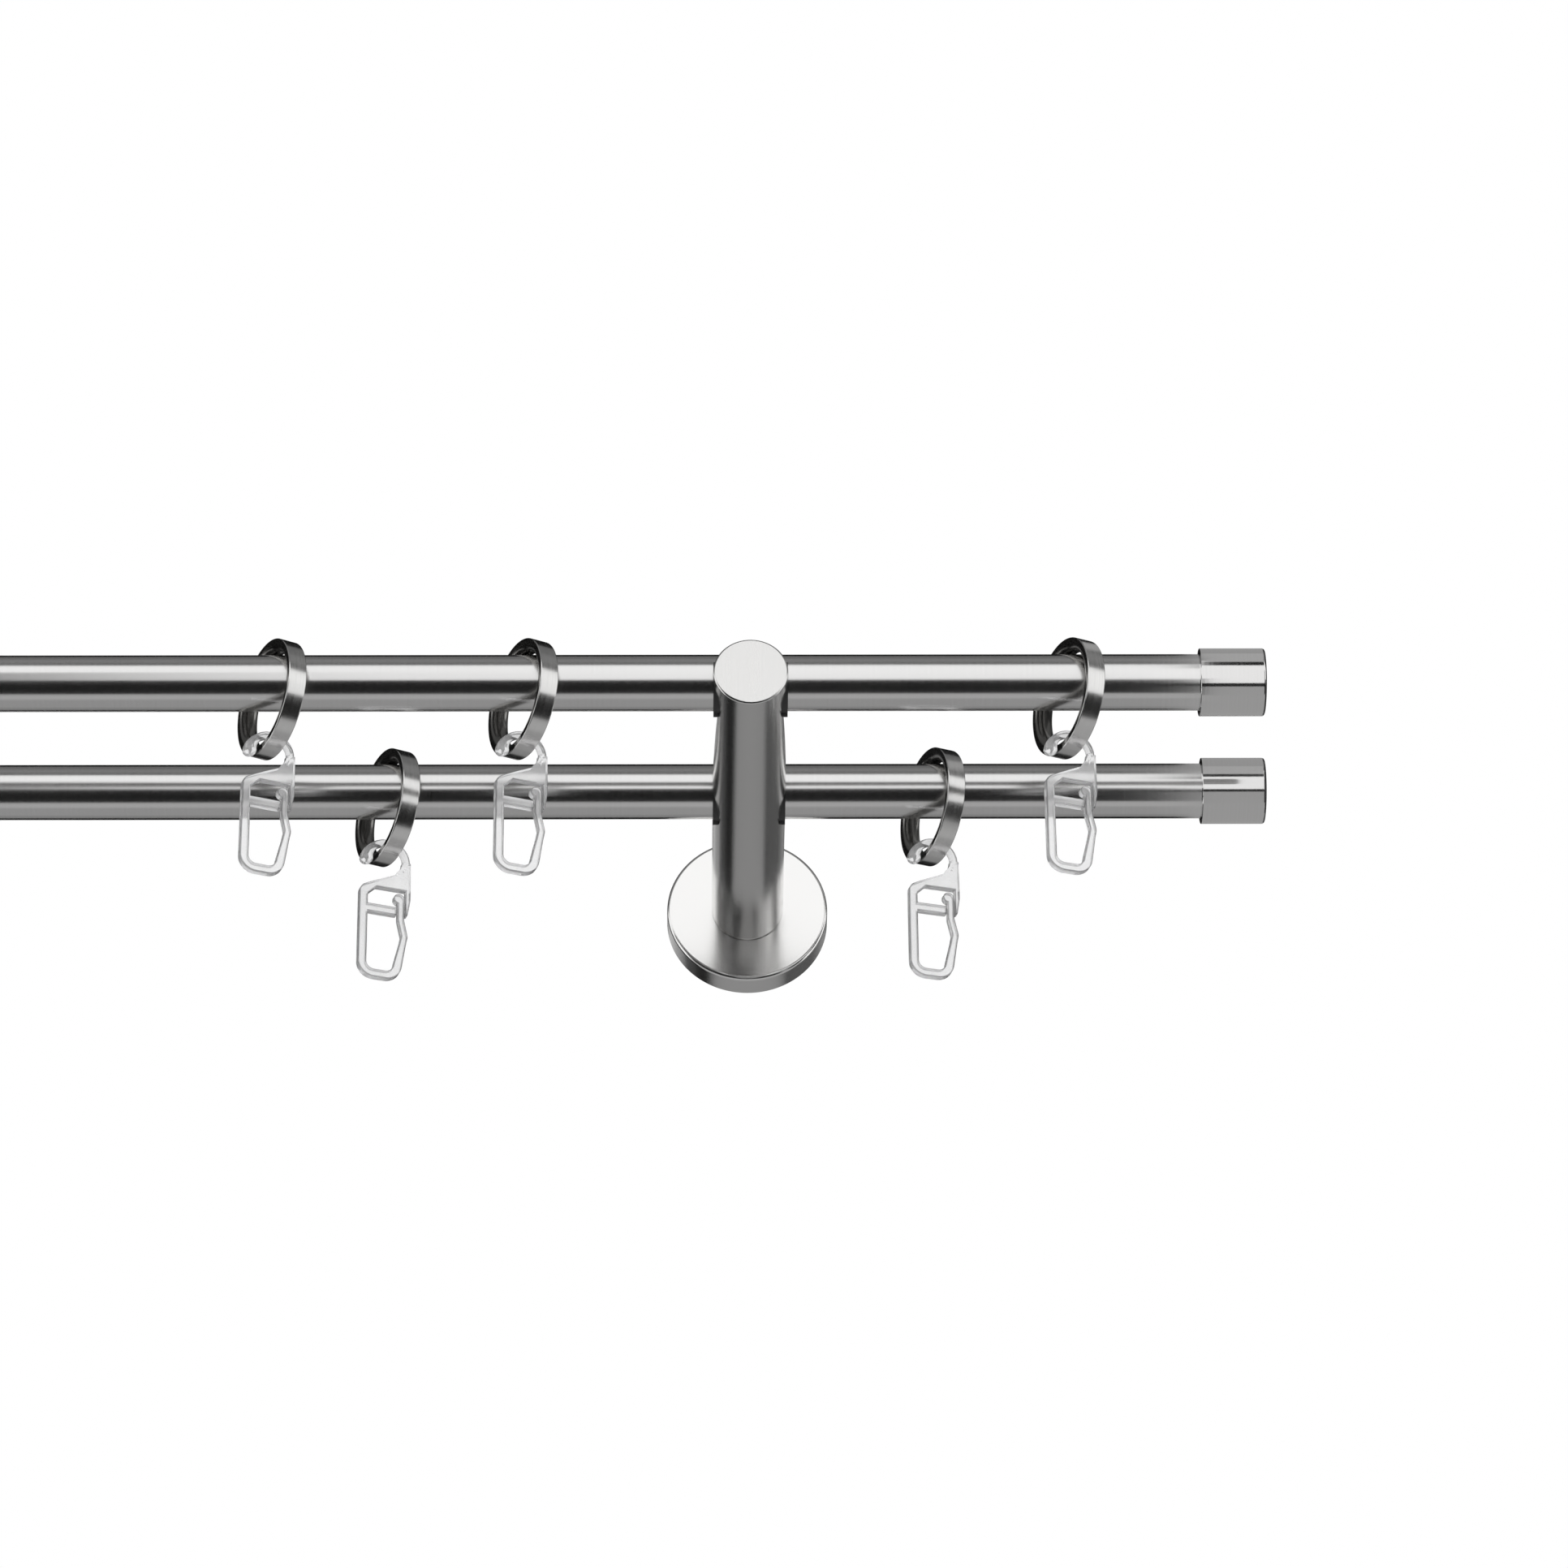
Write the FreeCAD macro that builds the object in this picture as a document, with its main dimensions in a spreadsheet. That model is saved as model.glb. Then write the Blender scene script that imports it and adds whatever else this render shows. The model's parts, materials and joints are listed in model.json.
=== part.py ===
import FreeCAD, Part
import math
import os
import Sketcher

# Double curtain pole, in millimetres.
# The origin is the centre of the right-hand wall fixing: the wall is the plane Y = 0,
# the room is on the -Y side, the poles run along X and +Z is up.

# Driving dimensions
SIZES = {
    # The two poles and where they lie
    "pole_diameter": 16.0,
    "pole_wall": 1.0,
    "front_depth": 134.0,
    "rear_depth": 73.0,
    "pole_rise": 3.0,
    "bracket_spacing": 510.0,
    "end_reach": 145.0,
    "rear_shift": 4.5,
    # End caps
    "cap_diameter": 19.2,
    "cap_length": 18.5,
    "cap_end_wall": 2.5,
    "cap_clearance": 0.05,
    "cap_edge": 0.8,
    "cap_mouth_edge": 0.15,
    # Bracket arm
    "arm_diameter": 21.1,
    "arm_front": 145.5,
    "arm_edge": 0.45,
    "arm_back_edge": 0.3,
    "arm_bore_spare": 1.5,
    # Pole cradles in the top of the arm
    "cradle_clearance": 0.05,
    "ramp_foot_drop": 7.8,
    "ramp_top_drop": 3.3,
    "rear_flank_angle": 35.0,
    # Cradle liners
    "liner_wall": 0.8,
    "liner_half_angle": 100.0,
    "liner_tab_wall": 1.6,
    "liner_tab_start": 20.0,
    "liner_tab_end": 48.0,
    "liner_inset": 0.1,
    # Wall plate with its spigot
    "plate_diameter": 42.0,
    "plate_thickness": 3.0,
    "spigot_diameter": 12.0,
    "spigot_depth": 16.0,
    "spigot_clearance": 0.05,
    "spigot_edge": 0.8,
    "fixing_spacing": 28.0,
    "fixing_hole": 4.5,
    "fixing_head": 8.6,
    # Rosette
    "rosette_diameter": 47.7,
    "rosette_depth": 8.5,
    "rosette_wall": 1.5,
    "rosette_edge": 1.2,
    "rosette_hole_clearance": 0.25,
    # Grub screw in the side of the arm
    "grub_diameter": 4.2,
    "grub_setback": 7.0,
    "grub_recess": 0.7,
    "grub_groove_depth": 0.8,
    "grub_groove_spare": 0.6,
    "grub_socket": 2.5,
    "grub_socket_depth": 2.0,
    "grub_clearance": 0.05,
    # Rings
    "ring_diameter": 34.2,
    "ring_width": 5.4,
    "ring_section": 3.6,
    "ring_inner_round": 2.4,
    "ring_outer_edge": 0.3,
    "ring_gap": 0.3,
    # Hooks
    "hook_turn_back": 7.0,
    "hook_thickness": 2.3,
    "hook_height": 38.6,
    "hook_leg": 2.5,
    "hook_leg_offset": 6.7,
    "hook_foot_round": 3.6,
    "hook_latch": 1.9,
    "hook_latch_offset": 5.75,
    "hook_belly_drop": 26.7,
    "hook_bar": 2.6,
    "hook_bar_drop": 18.85,
    "hook_keeper": 1.5,
    "hook_keeper_inner": 5.8,
    "hook_keeper_taper": 0.8,
    "hook_window_drop": 11.8,
    "hook_gusset": 2.5,
    "hook_knob": 3.2,
    "hook_slit": 0.3,
    "shoulder_drop": 12.0,
    "shoulder_round": 3.0,
    "shoulder_end": 2.4,
    "shoulder_end_drop": 7.2,
    "neck_fork_angle": 48.0,
    "eye_rod": 2.4,
    "eye_inner_diameter": 9.3,
    "eye_drop": 2.6,
    "eye_bulb": 4.2,
    "eye_bulb_out": 0.15,
    "eye_start_angle": -25.0,
    "eye_swell_angle": 125.0,
    "eye_end_angle": 195.0,
    "eye_end_round": 1.5,
}

# Rings from left to right: each is set off from an arm or from the end of the poles,
# and turned a little about the vertical
RING_BASES = {
    "left_end": "-sizes.bracket_spacing - sizes.end_reach",
    "left_arm": "-sizes.bracket_spacing",
    "right_arm": "0",
    "right_end": "sizes.end_reach",
}
FRONT_RINGS = [
    ("left_end", 55.4, 24.6),
    ("left_arm", 64.0, 27.3),
    ("left_arm", 134.6, 28.5),
    ("right_arm", -134.6, 28.5),
    ("right_arm", -64.0, 27.3),
    ("right_end", -55.4, 24.6),
]
REAR_RINGS = [
    ("left_end", 91.8, 22.5),
    ("left_arm", 104.5, 26.5),
    ("right_arm", -104.5, 26.5),
    ("right_end", -91.8, 22.5),
]

doc = FreeCAD.newDocument("double_curtain_pole")
sheet = doc.addObject("Spreadsheet::Sheet", "sizes")
for row, (alias, size) in enumerate(SIZES.items(), start=1):
    sheet.set("A%d" % row, alias)
    sheet.set("B%d" % row, str(size))
    sheet.setAlias("B%d" % row, alias)
# How close two places may be and still count as one
NEAR = 0.01

ring_rows = [("front", FRONT_RINGS), ("rear", REAR_RINGS)]
row = len(SIZES)
for pole, places in ring_rows:
    for number, (base, offset, turn) in enumerate(places, start=1):
        for what, size in (("offset", offset), ("turn", turn)):
            row += 1
            alias = "%s_ring_%d_%s" % (pole, number, what)
            sheet.set("A%d" % row, alias)
            sheet.set("B%d" % row, str(size))
            sheet.setAlias("B%d" % row, alias)
doc.recompute()

nodes = []


# Helpers
def cell(alias):
    """The number in one cell of the sheet of sizes."""
    return float(sheet.get(alias))


def new_body(label):
    body = doc.addObject("PartDesign::Body", label)
    body.Label = label
    nodes.append(body)
    return body


def origin_part(body, role):
    return [part for part in body.Origin.OriginFeatures if part.Role == role][0]


def new_sketch(body, role, label):
    sketch = body.newObject("Sketcher::SketchObject", body.Name + "_" + label)
    sketch.AttachmentSupport = (origin_part(body, role), [""])
    sketch.MapMode = "FlatFace"
    return sketch


def bind(sketch, constraint, name, formula):
    """Add a named constraint whose value comes from the sheet."""
    index = sketch.addConstraint(constraint)
    sketch.renameConstraint(index, name)
    sketch.setExpression("Constraints." + name, formula)


def pin_point(sketch, geometry, position, name, across, up):
    """Hold a point of a sketch at two formulas measured from its origin."""
    start = (-1, 1)
    bind(sketch, Sketcher.Constraint("DistanceX", *start, geometry, position, 1.0), name + "x", across)
    bind(sketch, Sketcher.Constraint("DistanceY", *start, geometry, position, 1.0), name + "y", up)


def add_circle(sketch, diameter, across="0", up="0"):
    index = sketch.addGeometry(Part.Circle(FreeCAD.Vector(), FreeCAD.Vector(0, 0, 1), 5.0))
    bind(sketch, Sketcher.Constraint("Diameter", index, 10.0), "d%d" % index, diameter)
    if across == "0" and up == "0":
        sketch.addConstraint(Sketcher.Constraint("Coincident", index, 3, -1, 1))
    else:
        pin_point(sketch, index, 3, "c%d" % index, across, up)


def add_polygon(sketch, corners):
    """A closed outline of straight lines; each corner is a pair of formulas."""
    count = len(corners)
    first = sketch.GeometryCount
    for step in range(count):
        turn = 2 * math.pi * step / count
        after = 2 * math.pi * (step + 1) / count
        start = FreeCAD.Vector(10 * math.cos(turn), 10 * math.sin(turn), 0)
        end = FreeCAD.Vector(10 * math.cos(after), 10 * math.sin(after), 0)
        sketch.addGeometry(Part.LineSegment(start, end))
    for step in range(count):
        line = first + step
        following = first + (step + 1) % count
        sketch.addConstraint(Sketcher.Constraint("Coincident", line, 2, following, 1))
        pin_point(sketch, line, 1, "p%d" % line, *corners[step])


def pad(body, sketch, length, label, symmetric=False, reverse=False):
    feature = body.newObject("PartDesign::Pad", body.Name + "_" + label)
    feature.Profile = sketch
    feature.setExpression("Length", length)
    feature.SideType = "Symmetric" if symmetric else "One side"
    feature.Reversed = reverse
    doc.recompute()
    return feature


def cut(body, sketch, length, label, symmetric=False, reverse=False):
    """A pocket, which has to take something away."""
    before = body.Shape.Volume
    feature = body.newObject("PartDesign::Pocket", body.Name + "_" + label)
    feature.Profile = sketch
    if length is None:
        feature.Type = "ThroughAll"
    else:
        feature.setExpression("Length", length)
    feature.SideType = "Symmetric" if symmetric else "One side"
    feature.Reversed = reverse
    doc.recompute()
    if body.Shape.Volume >= before:
        raise RuntimeError("the cut %s takes nothing away" % feature.Name)
    return feature


def turned(body, sketch, axis_role, label, kind="PartDesign::Revolution"):
    feature = body.newObject(kind, body.Name + "_" + label)
    feature.Profile = sketch
    feature.ReferenceAxis = (origin_part(body, axis_role), [""])
    feature.Angle = 360.0
    doc.recompute()
    return feature


def round_edges(body, test, size, label, kind="PartDesign::Fillet"):
    """Fillet or chamfer the edges of a body that pass a test on their place."""
    base = body.Tip
    names = [
        "Edge%d" % (index + 1)
        for index, edge in enumerate(base.Shape.Edges)
        if test(edge)
    ]
    feature = body.newObject(kind, body.Name + "_" + label)
    feature.Base = (base, names)
    feature.setExpression("Radius" if kind.endswith("Fillet") else "Size", size)
    doc.recompute()
    return feature


def is_circle_at(edge, axis, place, radius):
    """Whether an edge is a full circle of this radius at this place along an axis."""
    box = edge.BoundBox
    low = {"x": box.XMin, "y": box.YMin}[axis]
    high = {"x": box.XMax, "y": box.YMax}[axis]
    on_place = abs(low - place) < NEAR and abs(high - place) < NEAR
    return on_place and edge.Curve.TypeId == "Part::GeomCircle" and abs(edge.Curve.Radius - radius) < NEAR


def place(body, across, depth, height):
    body.setExpression("Placement.Base.x", across)
    body.setExpression("Placement.Base.y", depth)
    body.setExpression("Placement.Base.z", height)


# Poles: round tubes
def make_pole(label, depth, shift):
    body = new_body(label)
    sketch = new_sketch(body, "YZ_Plane", "section")
    add_circle(sketch, "sizes.pole_diameter")
    add_circle(sketch, "sizes.pole_diameter - 2 * sizes.pole_wall")
    pad(body, sketch, "sizes.bracket_spacing + 2 * (sizes.end_reach - sizes.cap_end_wall)", "tube")
    start = "-sizes.bracket_spacing - sizes.end_reach + sizes.cap_end_wall + " + shift
    place(body, start, "-" + depth, "sizes.pole_rise")


# End caps: cups that slip over the ends of the poles. The mouth faces -X before a cap is turned.
def make_cap(label, depth, shift, on_the_left):
    body = new_body(label)
    outline = new_sketch(body, "YZ_Plane", "outline")
    add_circle(outline, "sizes.cap_diameter")
    pad(body, outline, "sizes.cap_length", "blank", reverse=True)
    bore = new_sketch(body, "YZ_Plane", "bore")
    bore.setExpression("AttachmentOffset.Base.z", "-sizes.cap_length")
    add_circle(bore, "sizes.pole_diameter + 2 * sizes.cap_clearance")
    cut(body, bore, "sizes.cap_length - sizes.cap_end_wall", "bore", reverse=True)
    outer = cell("cap_diameter") / 2
    round_edges(body, lambda e: is_circle_at(e, "x", 0, outer), "sizes.cap_edge", "end_round")
    mouth = -cell("cap_length")
    round_edges(
        body,
        lambda e: is_circle_at(e, "x", mouth, outer),
        "sizes.cap_mouth_edge",
        "mouth_chamfer",
        "PartDesign::Chamfer",
    )
    if on_the_left:
        body.Placement.Rotation = FreeCAD.Rotation(FreeCAD.Vector(0, 0, 1), 180)
        end = "-sizes.bracket_spacing - sizes.end_reach + " + shift
    else:
        end = "sizes.end_reach + " + shift
    place(body, end, "-" + depth, "sizes.pole_rise")


# Bracket arm: a round bar with two cradles milled into its top, open upwards.
# Each cradle has a steep side towards the room and a sloping side towards the wall.
LINER_OUTER = "(sizes.pole_diameter / 2 + sizes.cradle_clearance + sizes.liner_wall)"
CRADLE = "(" + LINER_OUTER + " + sizes.cradle_clearance)"
CRADLE_SIDE = "sqrt(" + CRADLE + " ^ 2 - sizes.ramp_foot_drop ^ 2)"


def make_arm(label, across):
    body = new_body(label)
    bar = new_sketch(body, "XZ_Plane", "bar")
    bar.setExpression("AttachmentOffset.Base.z", "sizes.rosette_depth")
    add_circle(bar, "sizes.arm_diameter")
    pad(body, bar, "sizes.arm_front - sizes.rosette_depth", "bar_pad")

    bore = new_sketch(body, "XZ_Plane", "bore")
    bore.setExpression("AttachmentOffset.Base.z", "sizes.rosette_depth")
    add_circle(bore, "sizes.spigot_diameter + 2 * sizes.spigot_clearance")
    cut(body, bore, "sizes.spigot_depth + sizes.arm_bore_spare", "bore_cut", reverse=True)

    radius = cell("arm_diameter") / 2
    front = -cell("arm_front")
    back = -cell("rosette_depth")
    for where, size, name in ((front, "sizes.arm_edge", "front"), (back, "sizes.arm_back_edge", "back")):
        round_edges(
            body,
            lambda e: is_circle_at(e, "y", where, radius),
            size,
            name + "_chamfer",
            "PartDesign::Chamfer",
        )

    bottoms = new_sketch(body, "YZ_Plane", "cradle_bottoms")
    for depth in ("sizes.front_depth", "sizes.rear_depth"):
        add_circle(bottoms, "2 * " + CRADLE, "-" + depth, "sizes.pole_rise")
    cut(body, bottoms, None, "cradle_cut", symmetric=True)

    above = "sizes.arm_diameter"
    foot = "sizes.pole_rise - sizes.ramp_foot_drop"
    top = "sizes.pole_rise - sizes.ramp_top_drop"
    flank_rise = "(" + above + " - sizes.pole_rise + sizes.ramp_foot_drop)"
    mouths = new_sketch(body, "YZ_Plane", "mouths")
    add_polygon(mouths, [
        ("-sizes.front_depth - " + CRADLE, "sizes.pole_rise"),
        ("-sizes.front_depth", "sizes.pole_rise"),
        ("-sizes.front_depth + " + CRADLE_SIDE, foot),
        ("-sizes.rear_depth - " + CRADLE, top),
        ("-sizes.rear_depth", "sizes.pole_rise"),
        ("-sizes.rear_depth + " + CRADLE_SIDE, foot),
        ("-sizes.rear_depth + " + CRADLE_SIDE + " + " + flank_rise + " / tan(sizes.rear_flank_angle)", above),
        ("-sizes.front_depth - " + CRADLE, above),
    ])
    cut(body, mouths, None, "mouth_cut", symmetric=True)

    grub = new_sketch(body, "YZ_Plane", "grub_hole")
    add_circle(grub, "sizes.grub_diameter", "-sizes.rosette_depth - sizes.grub_setback")
    cut(body, grub, "sizes.arm_diameter", "grub_cut", reverse=True)
    place(body, across, "0", "0")


# Cradle liner: a thin plastic clip round the underside of the pole, with a tab at each end
# that hooks over the side of the arm so that the liner can't creep along the pole
def keep_wedge(body, start, end, name):
    """Keep only what lies between two angles, from the lowest point towards the wall."""
    reach = "sizes.arm_diameter"
    start_out = reach + " * sin(" + start + ")"
    end_down = "-" + reach + " * cos(" + end + ")"
    sketch = new_sketch(body, "YZ_Plane", name)
    add_polygon(sketch, [
        ("0", "0"),
        (reach + " * sin(" + end + ")", end_down),
        (reach, end_down),
        (reach, reach),
        ("-" + reach, reach),
        ("-" + reach, "-" + reach),
        (start_out, "-" + reach),
        (start_out, "-" + reach + " * cos(" + start + ")"),
    ])
    cut(body, sketch, None, name + "_cut", symmetric=True)


def cut_above(body, half_angle, name):
    """Cut away everything beyond this angle on either side of the lowest point."""
    reach = "sizes.arm_diameter"
    out = reach + " * sin(" + half_angle + ")"
    down = "-" + reach + " * cos(" + half_angle + ")"
    sketch = new_sketch(body, "YZ_Plane", name)
    add_polygon(sketch, [
        ("0", "0"),
        (out, down),
        (reach, down),
        (reach, reach),
        ("-" + reach, reach),
        ("-" + reach, down),
        ("-" + out, down),
    ])
    cut(body, sketch, None, name + "_cut", symmetric=True)


def make_liner(label, across, depth):
    body = new_body(label)
    inner = "sizes.pole_diameter + 2 * sizes.cradle_clearance"
    length = "sizes.arm_diameter - 2 * sizes.liner_inset"

    tabs = new_sketch(body, "YZ_Plane", "tabs")
    add_circle(tabs, inner)
    add_circle(tabs, inner + " + 2 * sizes.liner_tab_wall")
    pad(body, tabs, length, "tabs_pad", symmetric=True)
    keep_wedge(body, "sizes.liner_tab_start", "sizes.liner_tab_end", "tab_sides")
    arm = new_sketch(body, "XZ_Plane", "arm_clearance")
    add_circle(arm, "sizes.arm_diameter + 2 * sizes.cradle_clearance", "0", "-sizes.pole_rise")
    cut(body, arm, None, "arm_cut", symmetric=True)

    shell = new_sketch(body, "YZ_Plane", "shell")
    add_circle(shell, inner)
    add_circle(shell, inner + " + 2 * sizes.liner_wall")
    pad(body, shell, length, "shell_pad", symmetric=True)
    cut_above(body, "sizes.liner_half_angle", "shell_ends")
    place(body, across, "-" + depth, "sizes.pole_rise")


# Wall plate: a disc with two countersunk screw holes and a spigot that carries the arm
def make_plate(label, across):
    body = new_body(label)
    disc = new_sketch(body, "XZ_Plane", "disc")
    add_circle(disc, "sizes.plate_diameter")
    pad(body, disc, "sizes.plate_thickness", "disc_pad")
    spigot = new_sketch(body, "XZ_Plane", "spigot")
    add_circle(spigot, "sizes.spigot_diameter")
    pad(body, spigot, "sizes.rosette_depth + sizes.spigot_depth", "spigot_pad")

    holes = new_sketch(body, "XZ_Plane", "screw_holes")
    for side in ("", "-"):
        add_circle(holes, "sizes.fixing_hole", "0", side + "sizes.fixing_spacing / 2")
    cut(body, holes, None, "screw_hole_cut", symmetric=True)
    face = -cell("plate_thickness")
    hole = cell("fixing_hole") / 2
    round_edges(
        body,
        lambda e: is_circle_at(e, "y", face, hole),
        "(sizes.fixing_head - sizes.fixing_hole) / 2",
        "countersinks",
        "PartDesign::Chamfer",
    )
    tip = -cell("rosette_depth") - cell("spigot_depth")
    spigot_radius = cell("spigot_diameter") / 2
    round_edges(
        body,
        lambda e: is_circle_at(e, "y", tip, spigot_radius),
        "sizes.spigot_edge",
        "spigot_chamfer",
        "PartDesign::Chamfer",
    )

    groove = new_sketch(body, "XY_Plane", "grub_groove")
    middle = "-sizes.rosette_depth - sizes.grub_setback"
    half = "(sizes.grub_diameter + sizes.grub_groove_spare) / 2"
    bottom = "sizes.spigot_diameter / 2 - sizes.grub_groove_depth"
    beyond = "sizes.arm_diameter / 2"
    add_polygon(groove, [
        (bottom, middle + " - " + half),
        (beyond, middle + " - " + half),
        (beyond, middle + " + " + half),
        (bottom, middle + " + " + half),
    ])
    turned(body, groove, "Y_Axis", "groove", "PartDesign::Groove")
    place(body, across, "0", "0")


# Rosette: a turned cup that hides the wall plate and is held by the foot of the arm
def make_rosette(label, across):
    body = new_body(label)
    disc = new_sketch(body, "XZ_Plane", "disc")
    add_circle(disc, "sizes.rosette_diameter")
    pad(body, disc, "sizes.rosette_depth", "disc_pad")
    hollow = new_sketch(body, "XZ_Plane", "hollow")
    add_circle(hollow, "sizes.rosette_diameter - 2 * sizes.rosette_wall")
    cut(body, hollow, "sizes.rosette_depth - sizes.rosette_wall", "hollow_cut", reverse=True)
    hole = new_sketch(body, "XZ_Plane", "spigot_hole")
    add_circle(hole, "sizes.spigot_diameter + 2 * sizes.rosette_hole_clearance")
    cut(body, hole, None, "spigot_hole_cut", symmetric=True)
    front = -cell("rosette_depth")
    radius = cell("rosette_diameter") / 2
    round_edges(body, lambda e: is_circle_at(e, "y", front, radius), "sizes.rosette_edge", "edge_round")
    place(body, across, "0", "0")


# Grub screw: locks the arm on the spigot
def make_grub(label, across):
    body = new_body(label)
    tip = "sizes.spigot_diameter / 2 - sizes.grub_groove_depth + sizes.grub_clearance"
    head = "sizes.arm_diameter / 2 - sizes.grub_recess"
    shank = new_sketch(body, "YZ_Plane", "shank")
    shank.setExpression("AttachmentOffset.Base.z", tip)
    add_circle(shank, "sizes.grub_diameter - 2 * sizes.grub_clearance")
    pad(body, shank, head + " - (" + tip + ")", "shank_pad")
    socket = new_sketch(body, "YZ_Plane", "socket")
    socket.setExpression("AttachmentOffset.Base.z", head)
    corner = "sizes.grub_socket / 2 / cos(30)"
    add_polygon(socket, [
        (corner + " * cos(%d)" % turn, corner + " * sin(%d)" % turn)
        for turn in range(0, 360, 60)
    ])
    cut(body, socket, "sizes.grub_socket_depth", "socket_cut")
    place(body, across, "-sizes.rosette_depth - sizes.grub_setback", "0")


# Ring: flat outside with a fine bevel, rounded inside. It hangs on the pole, turned a little.
RING_DROP = "sizes.ring_diameter / 2 - sizes.ring_section - sizes.ring_gap - sizes.pole_diameter / 2"


def make_ring(label, along, depth):
    body = new_body(label)
    section = new_sketch(body, "XZ_Plane", "section")
    half = "sizes.ring_width / 2"
    outer = "sizes.ring_diameter / 2"
    inner = "sizes.ring_diameter / 2 - sizes.ring_section"
    add_polygon(section, [
        ("-" + half, inner),
        (half, inner),
        (half, outer),
        ("-" + half, outer),
    ])
    turned(body, section, "X_Axis", "turning")
    inner_radius = cell("ring_diameter") / 2 - cell("ring_section")
    outer_radius = cell("ring_diameter") / 2
    sides = (-cell("ring_width") / 2, cell("ring_width") / 2)
    round_edges(
        body,
        lambda e: any(is_circle_at(e, "x", side, inner_radius) for side in sides),
        "sizes.ring_inner_round",
        "inner_round",
    )
    round_edges(
        body,
        lambda e: any(is_circle_at(e, "x", side, outer_radius) for side in sides),
        "sizes.ring_outer_edge",
        "outer_bevel",
        "PartDesign::Chamfer",
    )
    body.Placement.Rotation = FreeCAD.Rotation(FreeCAD.Vector(0, 0, 1), cell(label + "_turn"))
    place(body, along, "-" + depth, "sizes.pole_rise - (" + RING_DROP + ")")
    body.setExpression("Placement.Rotation.Angle", "sizes." + label + "_turn")


# Hook: one flat plastic moulding, drawn in the XZ plane with the ring's section at its origin.
# An open eye goes round the ring, and a springy latch closes the loop under a keeper.
SWELL_STEPS = 5


def strip(points, rounds, width):
    """A flat band of even width along straight runs joined by tangent arcs."""
    def side(offset):
        edges = []
        last = None
        for index, point in enumerate(points):
            if index == 0 or index == len(points) - 1:
                towards = points[1] - points[0] if index == 0 else points[-1] - points[-2]
                towards.normalize()
                spot = point + FreeCAD.Vector(-towards.z, 0, towards.x) * offset
                if last is not None:
                    edges.append(Part.LineSegment(last, spot).toShape())
                last = spot
                continue
            before = (point - points[index - 1]).normalize()
            after = (points[index + 1] - point).normalize()
            turn = math.atan2(before.x * after.z - before.z * after.x, before.dot(after))
            radius = rounds[index - 1]
            back = radius * math.tan(abs(turn) / 2)
            bend = math.copysign(1, turn)
            normal = FreeCAD.Vector(-before.z, 0, before.x)
            centre = point - before * back + normal * (bend * radius)
            reach = radius - bend * offset
            start = centre - normal * (bend * reach)
            middle_turn = FreeCAD.Rotation(FreeCAD.Vector(0, -1, 0), math.degrees(turn) / 2)
            whole_turn = FreeCAD.Rotation(FreeCAD.Vector(0, -1, 0), math.degrees(turn))
            middle = centre + middle_turn.multVec(start - centre)
            end = centre + whole_turn.multVec(start - centre)
            edges.append(Part.LineSegment(last, start).toShape())
            edges.append(Part.Arc(start, middle, end).toShape())
            last = end
        return edges

    left = side(width / 2)
    right = side(-width / 2)
    first = Part.LineSegment(left[0].Vertexes[0].Point, right[0].Vertexes[0].Point).toShape()
    final = Part.LineSegment(left[-1].Vertexes[-1].Point, right[-1].Vertexes[-1].Point).toShape()
    return Part.Face(Part.Wire(Part.__sortEdges__(left + [final] + right + [first])))


def slab(face, thickness):
    """A flat face in the XZ plane made into a plate, half on each side of it."""
    face.translate(FreeCAD.Vector(0, -thickness / 2, 0))
    return face.extrude(FreeCAD.Vector(0, thickness, 0))


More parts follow.
